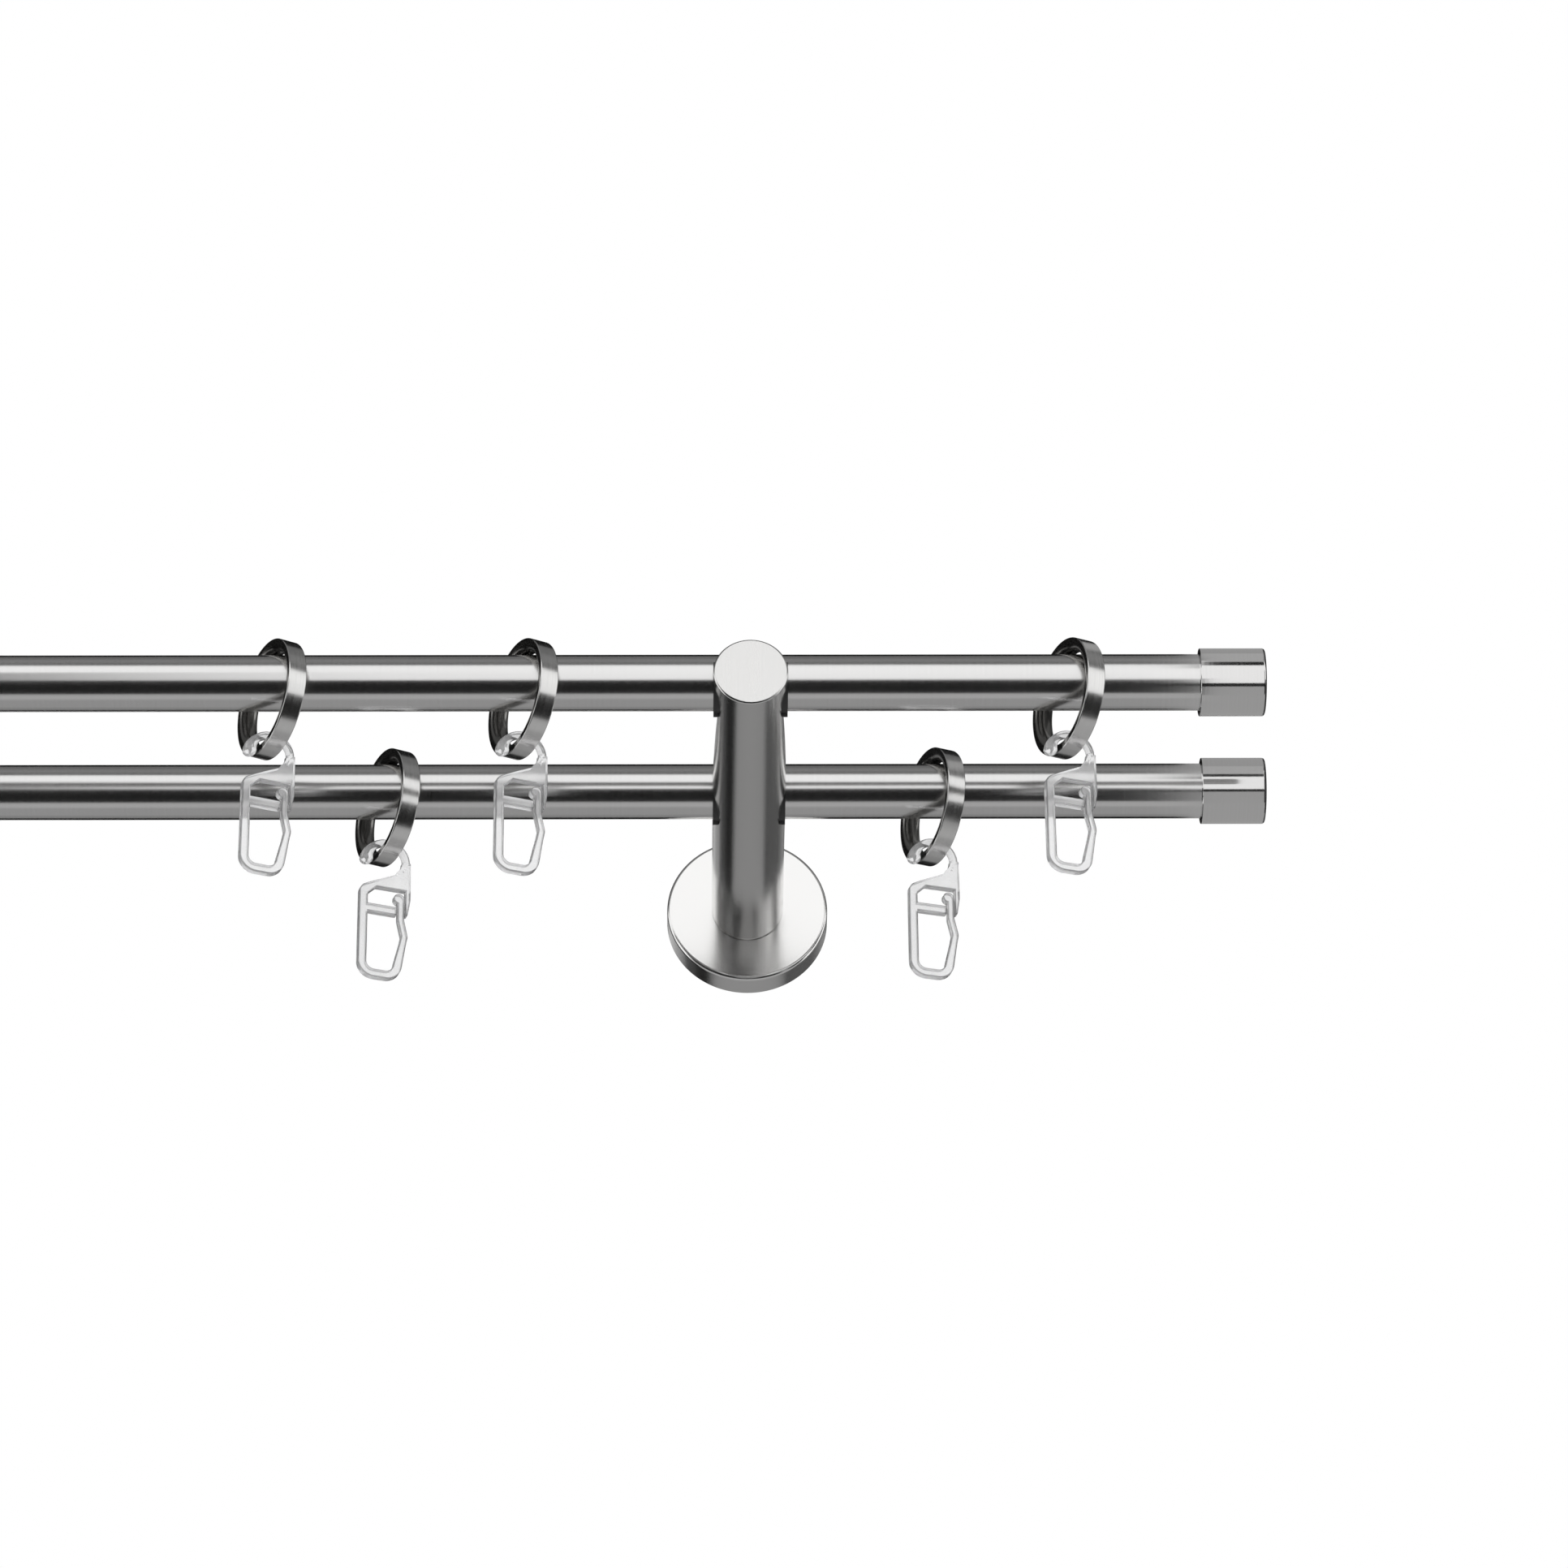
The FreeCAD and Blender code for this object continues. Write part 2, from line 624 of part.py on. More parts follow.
def hook_shape():
    thickness = cell("hook_thickness")
    leg = cell("hook_leg")
    latch = cell("hook_latch")
    bar = cell("hook_bar")
    keeper_inner = cell("hook_keeper_inner")
    slit = cell("hook_slit")
    knob = cell("hook_knob")
    foot = -cell("hook_height") - cell("eye_drop") + leg / 2
    leg_x = -cell("hook_leg_offset")
    window = -cell("hook_window_drop")
    bar_z = -cell("hook_bar_drop")
    rod = cell("eye_rod")
    eye_inner = cell("eye_inner_diameter") / 2
    eye_radius = eye_inner + rod / 2
    eye_centre = FreeCAD.Vector(0, 0, -cell("eye_drop"))

    def at(x, z):
        return FreeCAD.Vector(x, 0, z)

    def outline(corners):
        return Part.Face(Part.makePolygon(corners + corners[:1]))

    def on_eye(degrees, radius):
        turn = math.radians(degrees)
        return eye_centre + at(radius * math.cos(turn), radius * math.sin(turn))

    # Leg and foot, a tapering run up to the belly, then the latch with its knob
    foot_round = cell("hook_foot_round")
    gusset = cell("hook_gusset")
    latch_x = cell("hook_latch_offset")
    belly = at(latch_x, -cell("hook_belly_drop"))
    toe = at(latch_x - leg, foot)
    up_run = (belly - toe).normalize()
    across_run = at(-up_run.z, up_run.x)
    run_start = toe + up_run * foot_round
    run_end = belly - up_run * leg
    leg_path = [at(leg_x, window - gusset), at(leg_x, foot), toe, run_start]
    pieces = [slab(strip(leg_path, [foot_round, foot_round], leg), thickness)]
    pieces.append(slab(outline([
        run_start - across_run * (leg / 2),
        run_end - across_run * (latch / 2),
        run_end + across_run * (latch / 2),
        run_start + across_run * (leg / 2),
    ]), thickness))
    neck_x = keeper_inner - slit - latch / 2
    knob_z = (window + bar_z + bar / 2) / 2
    latch_path = [run_end, belly, at(neck_x, bar_z - bar), at(neck_x, knob_z)]
    pieces.append(slab(strip(latch_path, [leg, leg], latch), thickness))
    knob_x = keeper_inner - slit - knob / 2
    knob_disc = Part.makeCylinder(knob / 2, thickness, at(knob_x, knob_z), FreeCAD.Vector(0, 1, 0))
    knob_disc.translate(FreeCAD.Vector(0, -thickness / 2, 0))
    pieces.append(knob_disc)

    # Crossbar, and the tapering keeper that covers the knob
    bar_end = neck_x - latch / 2 - slit
    pieces.append(slab(outline([
        at(leg_x, bar_z - bar / 2),
        at(bar_end, bar_z - bar / 2),
        at(bar_end, bar_z + bar / 2),
        at(leg_x, bar_z + bar / 2),
    ]), thickness))
    keeper_outer = keeper_inner + cell("hook_keeper")
    keeper_foot = bar_z - bar / 2 + slit
    pieces.append(slab(outline([
        at(keeper_inner, keeper_foot),
        at(keeper_outer - cell("hook_keeper_taper"), keeper_foot),
        at(keeper_outer, knob_z),
        at(keeper_outer, window),
        at(keeper_inner, window),
    ]), thickness))

    # Sloping shoulder that runs up into the neck, with the eye cut out of it
    leg_inner = leg_x + leg / 2
    leg_outer = leg_x - leg / 2
    corner = at(leg_outer, -cell("shoulder_drop"))
    shoulder = slab(outline([
        corner,
        at(cell("shoulder_end"), -cell("shoulder_end_drop")),
        on_eye(-cell("neck_fork_angle"), eye_inner),
        on_eye(0, eye_inner),
        on_eye(0, eye_inner + rod),
        at(keeper_outer, window),
        at(leg_inner + gusset, window),
        at(leg_inner, window - gusset),
        at(leg_outer, window - gusset),
    ]), thickness)
    corner_edges = [
        edge for edge in shoulder.Edges
        if all(abs(end.X - corner.x) + abs(end.Z - corner.z) < NEAR for end in edge.Vertexes)
    ]
    shoulder = shoulder.makeFillet(cell("shoulder_round"), corner_edges)
    eye_hole = Part.makeCylinder(eye_inner, thickness, eye_centre, FreeCAD.Vector(0, 1, 0))
    eye_hole.translate(FreeCAD.Vector(0, -thickness / 2, 0))
    pieces.append(shoulder.cut(eye_hole))

    # Open eye: a round rod bent about the ring, swelling towards its free end
    start = cell("eye_start_angle")
    swell = cell("eye_swell_angle")
    end = cell("eye_end_angle")
    bulb = cell("eye_bulb") / 2
    bulb_out = cell("eye_bulb_out")

    def rod_section(degrees, grown):
        """The rod's outline at one angle, from the plain rod at 0 to the full bulb at 1."""
        radius = rod / 2 + grown * (bulb - rod / 2)
        section = Part.Wire(Part.makeCircle(radius, at(eye_radius + grown * bulb_out, 0), at(0, 1)))
        section.rotate(at(0, 0), FreeCAD.Vector(0, -1, 0), degrees)
        section.translate(eye_centre)
        return section

    path = Part.Wire(Part.Arc(
        on_eye(start, eye_radius),
        on_eye((start + swell) / 2, eye_radius),
        on_eye(swell, eye_radius),
    ).toShape())
    pieces.append(path.makePipeShell([rod_section(start, 0)], True, False))
    shares = [step / SWELL_STEPS for step in range(SWELL_STEPS + 1)]
    swelling = [rod_section(swell + (end - swell) * share, share ** 2 * (3 - 2 * share)) for share in shares]
    tip = on_eye(end, eye_radius + bulb_out)
    swollen = Part.makeLoft(swelling, True)
    tip_edges = [edge for edge in swollen.Edges if (edge.CenterOfMass - tip).Length < NEAR]
    pieces.append(swollen.makeFillet(cell("eye_end_round"), tip_edges))
    return pieces[0].multiFuse(pieces[1:]).removeSplitter()


def make_hook(label, shape, along, depth, ring):
    hook = doc.addObject("Part::Feature", label)
    hook.Label = label
    hook.Shape = shape
    turn = cell(ring + "_turn") - cell("hook_turn_back")
    hook.Placement.Rotation = FreeCAD.Rotation(FreeCAD.Vector(0, 0, 1), turn)
    band_centre = "(sizes.ring_diameter - sizes.ring_section) / 2"
    place(hook, along, "-" + depth, "sizes.pole_rise - (" + RING_DROP + ") - " + band_centre)
    hook.setExpression("Placement.Rotation.Angle", "sizes." + ring + "_turn - sizes.hook_turn_back")
    nodes.append(hook)


# The whole assembly
make_pole("front_pole", "sizes.front_depth", "0")
make_pole("rear_pole", "sizes.rear_depth", "sizes.rear_shift")
for pole, shift in (("front", "0"), ("rear", "sizes.rear_shift")):
    for side in ("right", "left"):
        make_cap("%s_cap_%s" % (pole, side), "sizes.%s_depth" % pole, shift, side == "left")
for side, across in (("right", "0"), ("left", "-sizes.bracket_spacing")):
    make_plate("wall_plate_" + side, across)
    make_rosette("rosette_" + side, across)
    make_arm("arm_" + side, across)
    make_grub("base_screw_" + side, across)
    for pole in ("front", "rear"):
        make_liner("%s_liner_%s" % (pole, side), across, "sizes.%s_depth" % pole)
one_hook = hook_shape()
for pole, places in ring_rows:
    depth = "sizes.%s_depth" % pole
    for number, (base, _, _) in enumerate(places, start=1):
        ring = "%s_ring_%d" % (pole, number)
        along = "%s + sizes.%s_offset" % (RING_BASES[base], ring)
        make_ring(ring, along, depth)
        make_hook("%s_hook_%d" % (pole, number), one_hook, along, depth, ring)
doc.recompute()

# Checks, then one file for each node
for item in doc.Objects:
    if "Invalid" in item.State or "Error" in item.State:
        raise RuntimeError("%s did not build: %s" % (item.Label, item.State))
for node in nodes:
    if node.Shape.isNull() or not node.Shape.isValid():
        raise RuntimeError("%s has no valid shape" % node.Label)
os.makedirs("parts", exist_ok=True)
for node in nodes:
    node.Shape.exportStep("parts/%s.step" % node.Label)
    print("%-18s %d solid, %.1f mm3" % (node.Label, len(node.Shape.Solids), node.Shape.Volume))
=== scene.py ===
"""The looks of a double curtain pole: two steel tubes on wall arms, with caps, rings and clear hooks."""

import json
import math

import bmesh
import bpy
from bpy.props import FloatProperty, FloatVectorProperty, IntProperty, PointerProperty
from mathutils import Matrix, Vector


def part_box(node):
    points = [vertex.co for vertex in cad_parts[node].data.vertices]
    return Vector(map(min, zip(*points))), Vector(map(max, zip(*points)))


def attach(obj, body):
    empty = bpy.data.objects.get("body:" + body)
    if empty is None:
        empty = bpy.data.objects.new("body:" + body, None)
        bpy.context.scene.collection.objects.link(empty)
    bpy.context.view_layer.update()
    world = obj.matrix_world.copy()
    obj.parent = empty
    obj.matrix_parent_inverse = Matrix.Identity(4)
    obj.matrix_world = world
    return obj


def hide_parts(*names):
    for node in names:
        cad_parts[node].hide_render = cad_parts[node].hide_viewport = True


bl_info = {
    "name": "Double Curtain Pole",
    "version": (1, 0, 0),
    "blender": (4, 5, 0),
    "location": "View3D > Sidebar > Curtain Pole",
    "description": "Dresses the frame of a double curtain pole in steel and clear plastic",
    "category": "Object",
}

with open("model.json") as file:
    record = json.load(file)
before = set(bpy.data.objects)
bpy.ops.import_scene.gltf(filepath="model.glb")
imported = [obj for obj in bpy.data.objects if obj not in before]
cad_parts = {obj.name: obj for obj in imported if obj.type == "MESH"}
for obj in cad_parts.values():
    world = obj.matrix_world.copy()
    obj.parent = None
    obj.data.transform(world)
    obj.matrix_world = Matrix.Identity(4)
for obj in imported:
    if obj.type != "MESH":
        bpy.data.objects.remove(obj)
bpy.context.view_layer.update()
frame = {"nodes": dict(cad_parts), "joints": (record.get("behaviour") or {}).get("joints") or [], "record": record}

OWN_PLACE = "own_place"
# The attribute that marks the hooks' rounded edges, where their colour gets painted shade
PAINTED_EDGE_SHADE = "painted_edge_shade"
FULL_TURN = 2 * math.pi


# Where things are in the frame
def nodes_named(start, end=""):
    """The frame's nodes whose names begin and end like this, in order."""
    return sorted(n for n in frame["nodes"] if n.startswith(start) and n.endswith(end))


def body_of_node(node):
    groups = frame["record"]["behaviour"]["bodies"]
    return next(body for body, members in groups.items() if node in members)


def centre_of(node):
    low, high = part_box(node)
    return (low + high) / 2


def turn_of_ring(ring):
    """How far a ring is turned about the vertical: its points spread least along its own axis."""
    centre = centre_of(ring)
    spots = [vertex.co - centre for vertex in frame["nodes"][ring].data.vertices]
    excess = sum(spot.y ** 2 - spot.x ** 2 for spot in spots)
    mixed = sum(spot.x * spot.y for spot in spots)
    return math.atan2(-2 * mixed, excess) / 2


def turn_of_hook(hook):
    """How far a hook is turned about the vertical, from the axis that it swings on."""
    axis = next(j["axis"] for j in frame["joints"] if j["child"] == hook)
    return math.atan2(axis[0], -axis[1])


def pivot_of(hook):
    return Vector(next(j["pos_m"] for j in frame["joints"] if j["child"] == hook))


# Node trees
class Wire:
    """A socket that Python's operators work on: each operator adds a Math node to its tree."""

    def __init__(self, graph, socket):
        self.graph = graph
        self.socket = socket

    def math(self, operation, first, second=None):
        values = [first] if second is None else [first, second]
        return self.graph.node("ShaderNodeMath", {"operation": operation}, values)

    def __add__(self, other):
        return self.math("ADD", self, other)

    def __radd__(self, other):
        return self.math("ADD", other, self)

    def __sub__(self, other):
        return self.math("SUBTRACT", self, other)

    def __rsub__(self, other):
        return self.math("SUBTRACT", other, self)

    def __mul__(self, other):
        return self.math("MULTIPLY", self, other)

    def __rmul__(self, other):
        return self.math("MULTIPLY", other, self)

    def __abs__(self):
        return self.math("ABSOLUTE", self)

    def __gt__(self, other):
        return self.math("GREATER_THAN", self, other)

    def __lt__(self, other):
        return self.math("LESS_THAN", self, other)

    def most(self, other):
        return self.math("MAXIMUM", self, other)


class Graph:
    """A node tree that is built one node at a time."""

    def __init__(self, tree):
        self.tree = tree

    def node(self, kind, settings=None, inputs=None, output=0):
        """Add a node: its settings first, then the values or links of its sockets."""
        made = self.tree.nodes.new(kind)
        for name, value in (settings or {}).items():
            setattr(made, name, value)
        pairs = inputs.items() if isinstance(inputs, dict) else enumerate(inputs or [])
        for key, value in pairs:
            if isinstance(value, Wire):
                self.tree.links.new(value.socket, made.inputs[key])
            else:
                made.inputs[key].default_value = value
        return Wire(self, made.outputs[output])

    def split(self, vector):
        """The three parts of a vector."""
        parts = self.node("ShaderNodeSeparateXYZ", inputs=[vector])
        return [Wire(self, socket) for socket in parts.socket.node.outputs]

    def stretched(self, vector, scale):
        return self.node("ShaderNodeVectorMath", {"operation": "MULTIPLY"}, [vector, scale])


class Finish(Graph):
    """A material on one Principled shader. Its patterns read each piece's own place attribute."""

    def __init__(self, name):
        self.material = bpy.data.materials.new(name)
        self.material.use_nodes = True
        super().__init__(self.material.node_tree)
        self.tree.nodes.clear()
        self.shader = self.tree.nodes.new("ShaderNodeBsdfPrincipled")
        end = self.tree.nodes.new("ShaderNodeOutputMaterial")
        self.tree.links.new(self.shader.outputs[0], end.inputs["Surface"])
        self.place = self.node("ShaderNodeAttribute", {"attribute_name": OWN_PLACE}, output="Vector")

    def wear(self, values):
        """Set or link the shader's sockets."""
        for name, value in values.items():
            if isinstance(value, Wire):
                self.tree.links.new(value.socket, self.shader.inputs[name])
            else:
                self.shader.inputs[name].default_value = value

    def noise(self, scale, detail=3.0):
        """Noise over the piece, with its own scale along each axis, per metre."""
        place = self.stretched(self.place, scale)
        return self.node("ShaderNodeTexNoise", inputs={"Vector": place, "Scale": 1.0, "Detail": detail})

    def between(self, factor, first, second):
        """A colour from the first to the second."""
        return self.node("ShaderNodeMix", {"data_type": "RGBA"}, {0: factor, 6: first, 7: second}, output=2)

    def bump(self, height, depth):
        """Lean the light as a surface with this height would, as deep as given in metres."""
        return self.node("ShaderNodeBump", inputs={"Strength": 1.0, "Distance": depth, "Height": height})

    def reach(self, x, y, z):
        """How far a place is from zero."""
        place = self.node("ShaderNodeCombineXYZ", inputs=[x, y, z])
        return self.node("ShaderNodeVectorMath", {"operation": "LENGTH"}, [place], output="Value")


class Recipe(Graph):
    """A geometry tree with named inputs, to be run on a piece and turned into its mesh."""

    def __init__(self, name, inputs):
        super().__init__(bpy.data.node_groups.new(name, "GeometryNodeTree"))
        self.sockets = {}
        for label, kind in inputs.items():
            self.sockets[label] = self.tree.interface.new_socket(label, in_out="INPUT", socket_type=kind)
        self.tree.interface.new_socket("Geometry", in_out="OUTPUT", socket_type="NodeSocketGeometry")
        self.start = self.tree.nodes.new("NodeGroupInput")

    def given(self, label):
        return Wire(self, self.start.outputs[label])

    def end(self, geometry, material):
        real = self.node("GeometryNodeRealizeInstances", inputs=[geometry])
        dressed = self.node("GeometryNodeSetMaterial", inputs={0: real, "Material": material})
        out = self.tree.nodes.new("NodeGroupOutput")
        self.tree.links.new(dressed.socket, out.inputs[0])

    def apply(self, piece, values):
        modifier = piece.modifiers.new(self.tree.name, "NODES")
        for label, value in values.items():
            modifier[self.sockets[label].identifier] = value
        modifier.node_group = self.tree
        settle_modifiers(piece)


# Meshes
# How much a face's normal leans along a moulding's thickness, for a flat face and for an upright wall
FLAT_LEAN = 0.97
WALL_LEAN = 0.25
# Points of a frame mesh that lie closer than this, in metres, are one point
WELD = 1e-6
# Faces of a frame mesh that turn less than this from each other are one flat face
FLAT_ANGLE = math.radians(0.5)
# Edges that turn more than this are rounded, with this many faces
SHARP_ANGLE = math.radians(40)
EDGE_FACES = 2
# Edges that still turn more than this are breaks in the smooth shading
BREAK_ANGLE = math.radians(32)
# A hook's round eye: how far its middle hangs below the pivot, and its outer radius
EYE = {"drop": 0.0026, "reach": 0.0078}


def settle_modifiers(piece):
    """Turn what a piece's modifiers make into its own mesh."""
    graph = bpy.context.evaluated_depsgraph_get()
    made = bpy.data.meshes.new_from_object(piece.evaluated_get(graph), depsgraph=graph)
    piece.modifiers.clear()
    piece.data = made


def new_piece(name, mesh=None):
    piece = bpy.data.objects.new(name, mesh or bpy.data.meshes.new(name))
    bpy.context.scene.collection.objects.link(piece)
    return piece


def piece_of(name, shape):
    """A new piece from a mesh that was built point by point."""
    piece = new_piece(name)
    shape.to_mesh(piece.data)
    shape.free()
    return piece


def give_material(piece, material):
    piece.data.materials.clear()
    piece.data.materials.append(material)


def mark_places(piece, centre, turn=0.0):
    """Store where each point is, measured from the piece's own centre along its own axes."""
    back = Matrix.Rotation(-turn, 3, "Z")
    places = [back @ (vertex.co - centre) for vertex in piece.data.vertices]
    layer = piece.data.attributes.new(OWN_PLACE, "FLOAT_VECTOR", "POINT")
    layer.data.foreach_set("vector", [number for place in places for number in place])


def in_eye(spot, pivot, across):
    """Whether a spot on a hook is at its round eye."""
    away = spot - pivot + Vector((0, 0, EYE["drop"]))
    return (away - across * away.dot(across)).length < EYE["reach"]


def mark_edges(piece, pivot, across):
    """Store 1 on the rounded edges of a flat moulding, where its colour gets painted shade, and 0 on its flats,
    its walls and its round eye.
    """
    shares = []
    for face in piece.data.polygons:
        on_edge = FLAT_LEAN > abs(face.normal.dot(across)) > WALL_LEAN
        shares.append(1.0 if on_edge and not in_eye(face.center, pivot, across) else 0.0)
    piece.data.attributes.new(PAINTED_EDGE_SHADE, "FLOAT", "FACE").data.foreach_set("value", shares)


def shade(piece):
    """Smooth shading that keeps flat faces flat and breaks at sharp edges."""
    piece.data.shade_smooth()
    piece.data.set_sharp_from_angle(angle=BREAK_ANGLE)
    modifier = piece.modifiers.new("flat_faces", "WEIGHTED_NORMAL")
    modifier.keep_sharp = True
    settle_modifiers(piece)


def copy_of(node, name, edge=0.0, left_sharp=None):
    """A welded copy of a frame node's mesh. Its sharp edges are rounded, but for those at left_sharp spots."""
    mesh = frame["nodes"][node].data.copy()
    mesh.name = name
    shape = bmesh.new()
    shape.from_mesh(mesh)
    bmesh.ops.remove_doubles(shape, verts=shape.verts, dist=WELD)
    bmesh.ops.dissolve_degenerate(shape, dist=WELD, edges=shape.edges)
    if edge:
        bmesh.ops.dissolve_limit(shape, angle_limit=FLAT_ANGLE, verts=shape.verts, edges=shape.edges)
        sharp = [e for e in shape.edges if e.is_manifold and e.calc_face_angle() > SHARP_ANGLE]
        if left_sharp:
            sharp = [e for e in sharp if not any(left_sharp(corner.co) for corner in e.verts)]
        bmesh.ops.bevel(
            shape, geom=sharp, offset=edge, segments=EDGE_FACES, profile=0.5, affect="EDGES", clamp_overlap=False
        )
    shape.to_mesh(mesh)
    shape.free()
    return new_piece(name, mesh)


def turns_between(first, last, steps):
    """Turns in radians from the first angle to the last, which are in degrees."""
    return [math.radians(first + (last - first) * step / steps) for step in range(steps + 1)]


def round_corner(end, radius, inset, steps):
    """A quarter round from a turned piece's end at this place to its radius."""
    turns = turns_between(0, 90, steps)
    return [(end - inset + inset * math.cos(t), radius - inset + inset * math.sin(t)) for t in turns]


def turned(name, section, axis, centre, segments, closed):
    """A turned piece. Its section is pairs of a place along the axis and a radius."""
    shape = bmesh.new()
    side = Vector((0, 0, 1))
    across = axis.cross(side)
    rings = []
    for along, radius in section:
        spot = centre + axis * along
        if radius == 0:
            rings.append([shape.verts.new(spot)])
            continue
        turns = [FULL_TURN * step / segments for step in range(segments)]
        rings.append([
            shape.verts.new(spot + (across * math.cos(t) + side * math.sin(t)) * radius) for t in turns
        ])
    pairs = list(zip(rings, rings[1:] + rings[:1])) if closed else list(zip(rings, rings[1:]))
    for one, other in pairs:
        for step in range(segments):
            after = (step + 1) % segments
            corners = [
                one[step % len(one)], one[after % len(one)], other[after % len(other)], other[step % len(other)],
            ]
            shape.faces.new(list(dict.fromkeys(corners)))
    bmesh.ops.recalc_face_normals(shape, faces=shape.faces)
    return piece_of(name, shape)


def finish_piece(piece, material, node):
    """Shade a piece, give it its material, and let it stand for its frame node and ride on that node's body."""
    shade(piece)
    give_material(piece, material)
    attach(piece, body_of_node(node))
    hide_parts(node)


# Marks of the mould on a hook, from its pivot: gate and ejector pins as across, height and radius
MOULD_MARKS = (
    (-0.0006, -0.0401, 0.0009),
    (0.0052, -0.0083, 0.0008),
    (-0.0064, -0.0131, 0.0007),
    (-0.0066, -0.0166, 0.0007),
)
# The seam across a hook's neck, from its pivot; its depth is a share of a pin's mark
NECK_SEAM = {"across": 0.0050, "height": -0.0068, "slope": 0.5, "start": 0.0028, "width": 0.00012, "depth": 0.7}


# Finishes
# Grain: noise per metre along each of a piece's own axes, fast across the brush lines
POLE_GRAIN = (1300, 5, 5)
CAP_GRAIN = (1600, 6, 6)
TUBE_CLOUDS = (30, 30, 30)
RING_GRAIN = (2600, 12, 12)
ROSETTE_GRAIN = {"outward": 3200, "along": 2400}
ROSETTE_CLOUDS = (60, 60, 60)
ARM_GRAIN = (4, 3600, 4)
ARM_END_GRAIN = (1500, 4, 25)
COAT_GRAIN = (400, 400, 400)
PLASTIC_WAVES = (150, 150, 150)
PLASTIC_HAZE = (420, 420, 60)
# How deep the grain is, in metres
TUBE_DEPTH = 2e-6
RING_DEPTH = 4e-6
ROSETTE_DEPTH = 1.2e-5
ARM_DEPTH = 1.6e-5
COAT_DEPTH = 1.5e-5
MOULD_DEPTH = 5e-5
# How deep the brushing of an arm's flat end is, beside the lines round the bar, and how much rougher the end is
END_BRUSH = 0.2
END_ROUGHER = 0.06
# How far a face of the arm looks along it, at least, to be its flat end
END_LEAN = 0.9
# How light or dark the steel gets in its grain, as a share of its colour
TUBE_TONES = (0.9, 1.03)
RING_TONE = 0.8
ROSETTE_TONE = 0.97
ARM_TONE = 0.9
COAT_TONE = 0.8
# How much of that comes from the clouds, beside the lines
TUBE_CLOUDED = 0.3
ROSETTE_CLOUDED = 0.4
# How far the roughness swings with the grain
LINE_SWING = 0.08
CLOUD_SWING = 0.04
RING_SWING = 0.14
ARM_SWING = 0.1
COAT_SWING = 0.15
# The clear plastic: its least roughness, its refraction, and how much its waves and its haze lift its surface
PLASTIC_ROUGHNESS = 0.04
PLASTIC_INDEX = 1.45
WAVE_LIFT = 0.6
HAZE_LIFT = 0.25
# Painted shade on the clear plastic: how dark its colour gets where it is seen edge on, and on its rounded edges
RIM_PAINTED_SHADE = 0.8
EDGE_PAINTED_SHADE = 0.65


def tone(colour, share=1.0):
    """An opaque colour, made lighter or darker by this share."""
    return (*[min(1.0, part * share) for part in colour], 1)


def brushed_steel(name, colour, roughness, grain):
    """Satin steel for the tubes and caps, with brush lines and faint clouds."""
    look = Finish(name)
    lines = look.noise(grain)
    clouds = look.noise(TUBE_CLOUDS, 2.0)
    shine = lines * (1 - TUBE_CLOUDED) + clouds * TUBE_CLOUDED
    look.wear({
        "Base Color": look.between(shine, *[tone(colour, share) for share in TUBE_TONES]),
        "Metallic": 1.0,
        "Roughness": roughness + (lines - 0.5) * LINE_SWING + (clouds - 0.5) * CLOUD_SWING,
        "Normal": look.bump(lines, TUBE_DEPTH),
    })
    return look.material


def ring_steel(colours, outer):
    """Brushed round outside; inside and on the sides its colour is dull and darker, which is painted shade."""
    look = Finish("ring_steel")
    lines = look.noise(RING_GRAIN)
    _, y, z = look.split(look.place)
    outside = look.reach(0.0, y, z) > outer
    steel = look.between(lines, tone(colours.ring_steel, RING_TONE), tone(colours.ring_steel))
    look.wear({
        # Painted shade: the darker colour inside the ring and on its sides
        "Base Color": look.between(outside, tone(colours.ring_inside_shade), steel),
        "Metallic": 1.0,
        "Roughness": colours.ring_roughness + (lines - 0.5) * RING_SWING,
        "Normal": look.bump(lines, RING_DEPTH),
    })
    return look.material


def rosette_steel(colours):
    """Steel turned in a lathe: the lines go round the middle on the face."""
    look = Finish("rosette_steel")
    x, y, z = look.split(look.place)
    outward, along = look.reach(x, 0.0, z) * ROSETTE_GRAIN["outward"], y * ROSETTE_GRAIN["along"]
    grooves = look.node("ShaderNodeCombineXYZ", inputs=[outward, along, 0.0])
    lines = look.node("ShaderNodeTexNoise", inputs={"Vector": grooves, "Scale": 1.0, "Detail": 3.0})
    clouds = look.noise(ROSETTE_CLOUDS, 2.0)
    shine = lines * (1 - ROSETTE_CLOUDED) + clouds * ROSETTE_CLOUDED
    steel = colours.rosette_steel
    look.wear({
        "Base Color": look.between(shine, tone(steel, ROSETTE_TONE), tone(steel)),
        "Metallic": 1.0,
        "Roughness": colours.bracket_roughness + (lines - 0.5) * LINE_SWING,
        "Normal": look.bump(lines, ROSETTE_DEPTH),
    })
    return look.material


def arm_steel(colours):
    """The bar is brushed round, and its flat end is brushed up and down."""
    look = Finish("arm_steel")
    facing = look.node("ShaderNodeNewGeometry", output="Normal")
    on_end = abs(look.split(facing)[1]) > END_LEAN
    round_lines = look.noise(ARM_GRAIN, 2.0)
    end_lines = look.noise(ARM_END_GRAIN)
    lines = round_lines * (1 - on_end) + end_lines * on_end
    depth = round_lines * (1 - on_end) + end_lines * on_end * END_BRUSH
    look.wear({
        "Base Color": look.between(lines, tone(colours.bracket_steel, ARM_TONE), tone(colours.bracket_steel)),
        "Metallic": 1.0,
        "Roughness": colours.bracket_roughness + (lines - 0.5) * ARM_SWING + on_end * END_ROUGHER,
        "Normal": look.bump(depth, ARM_DEPTH),
    })
    return look.material


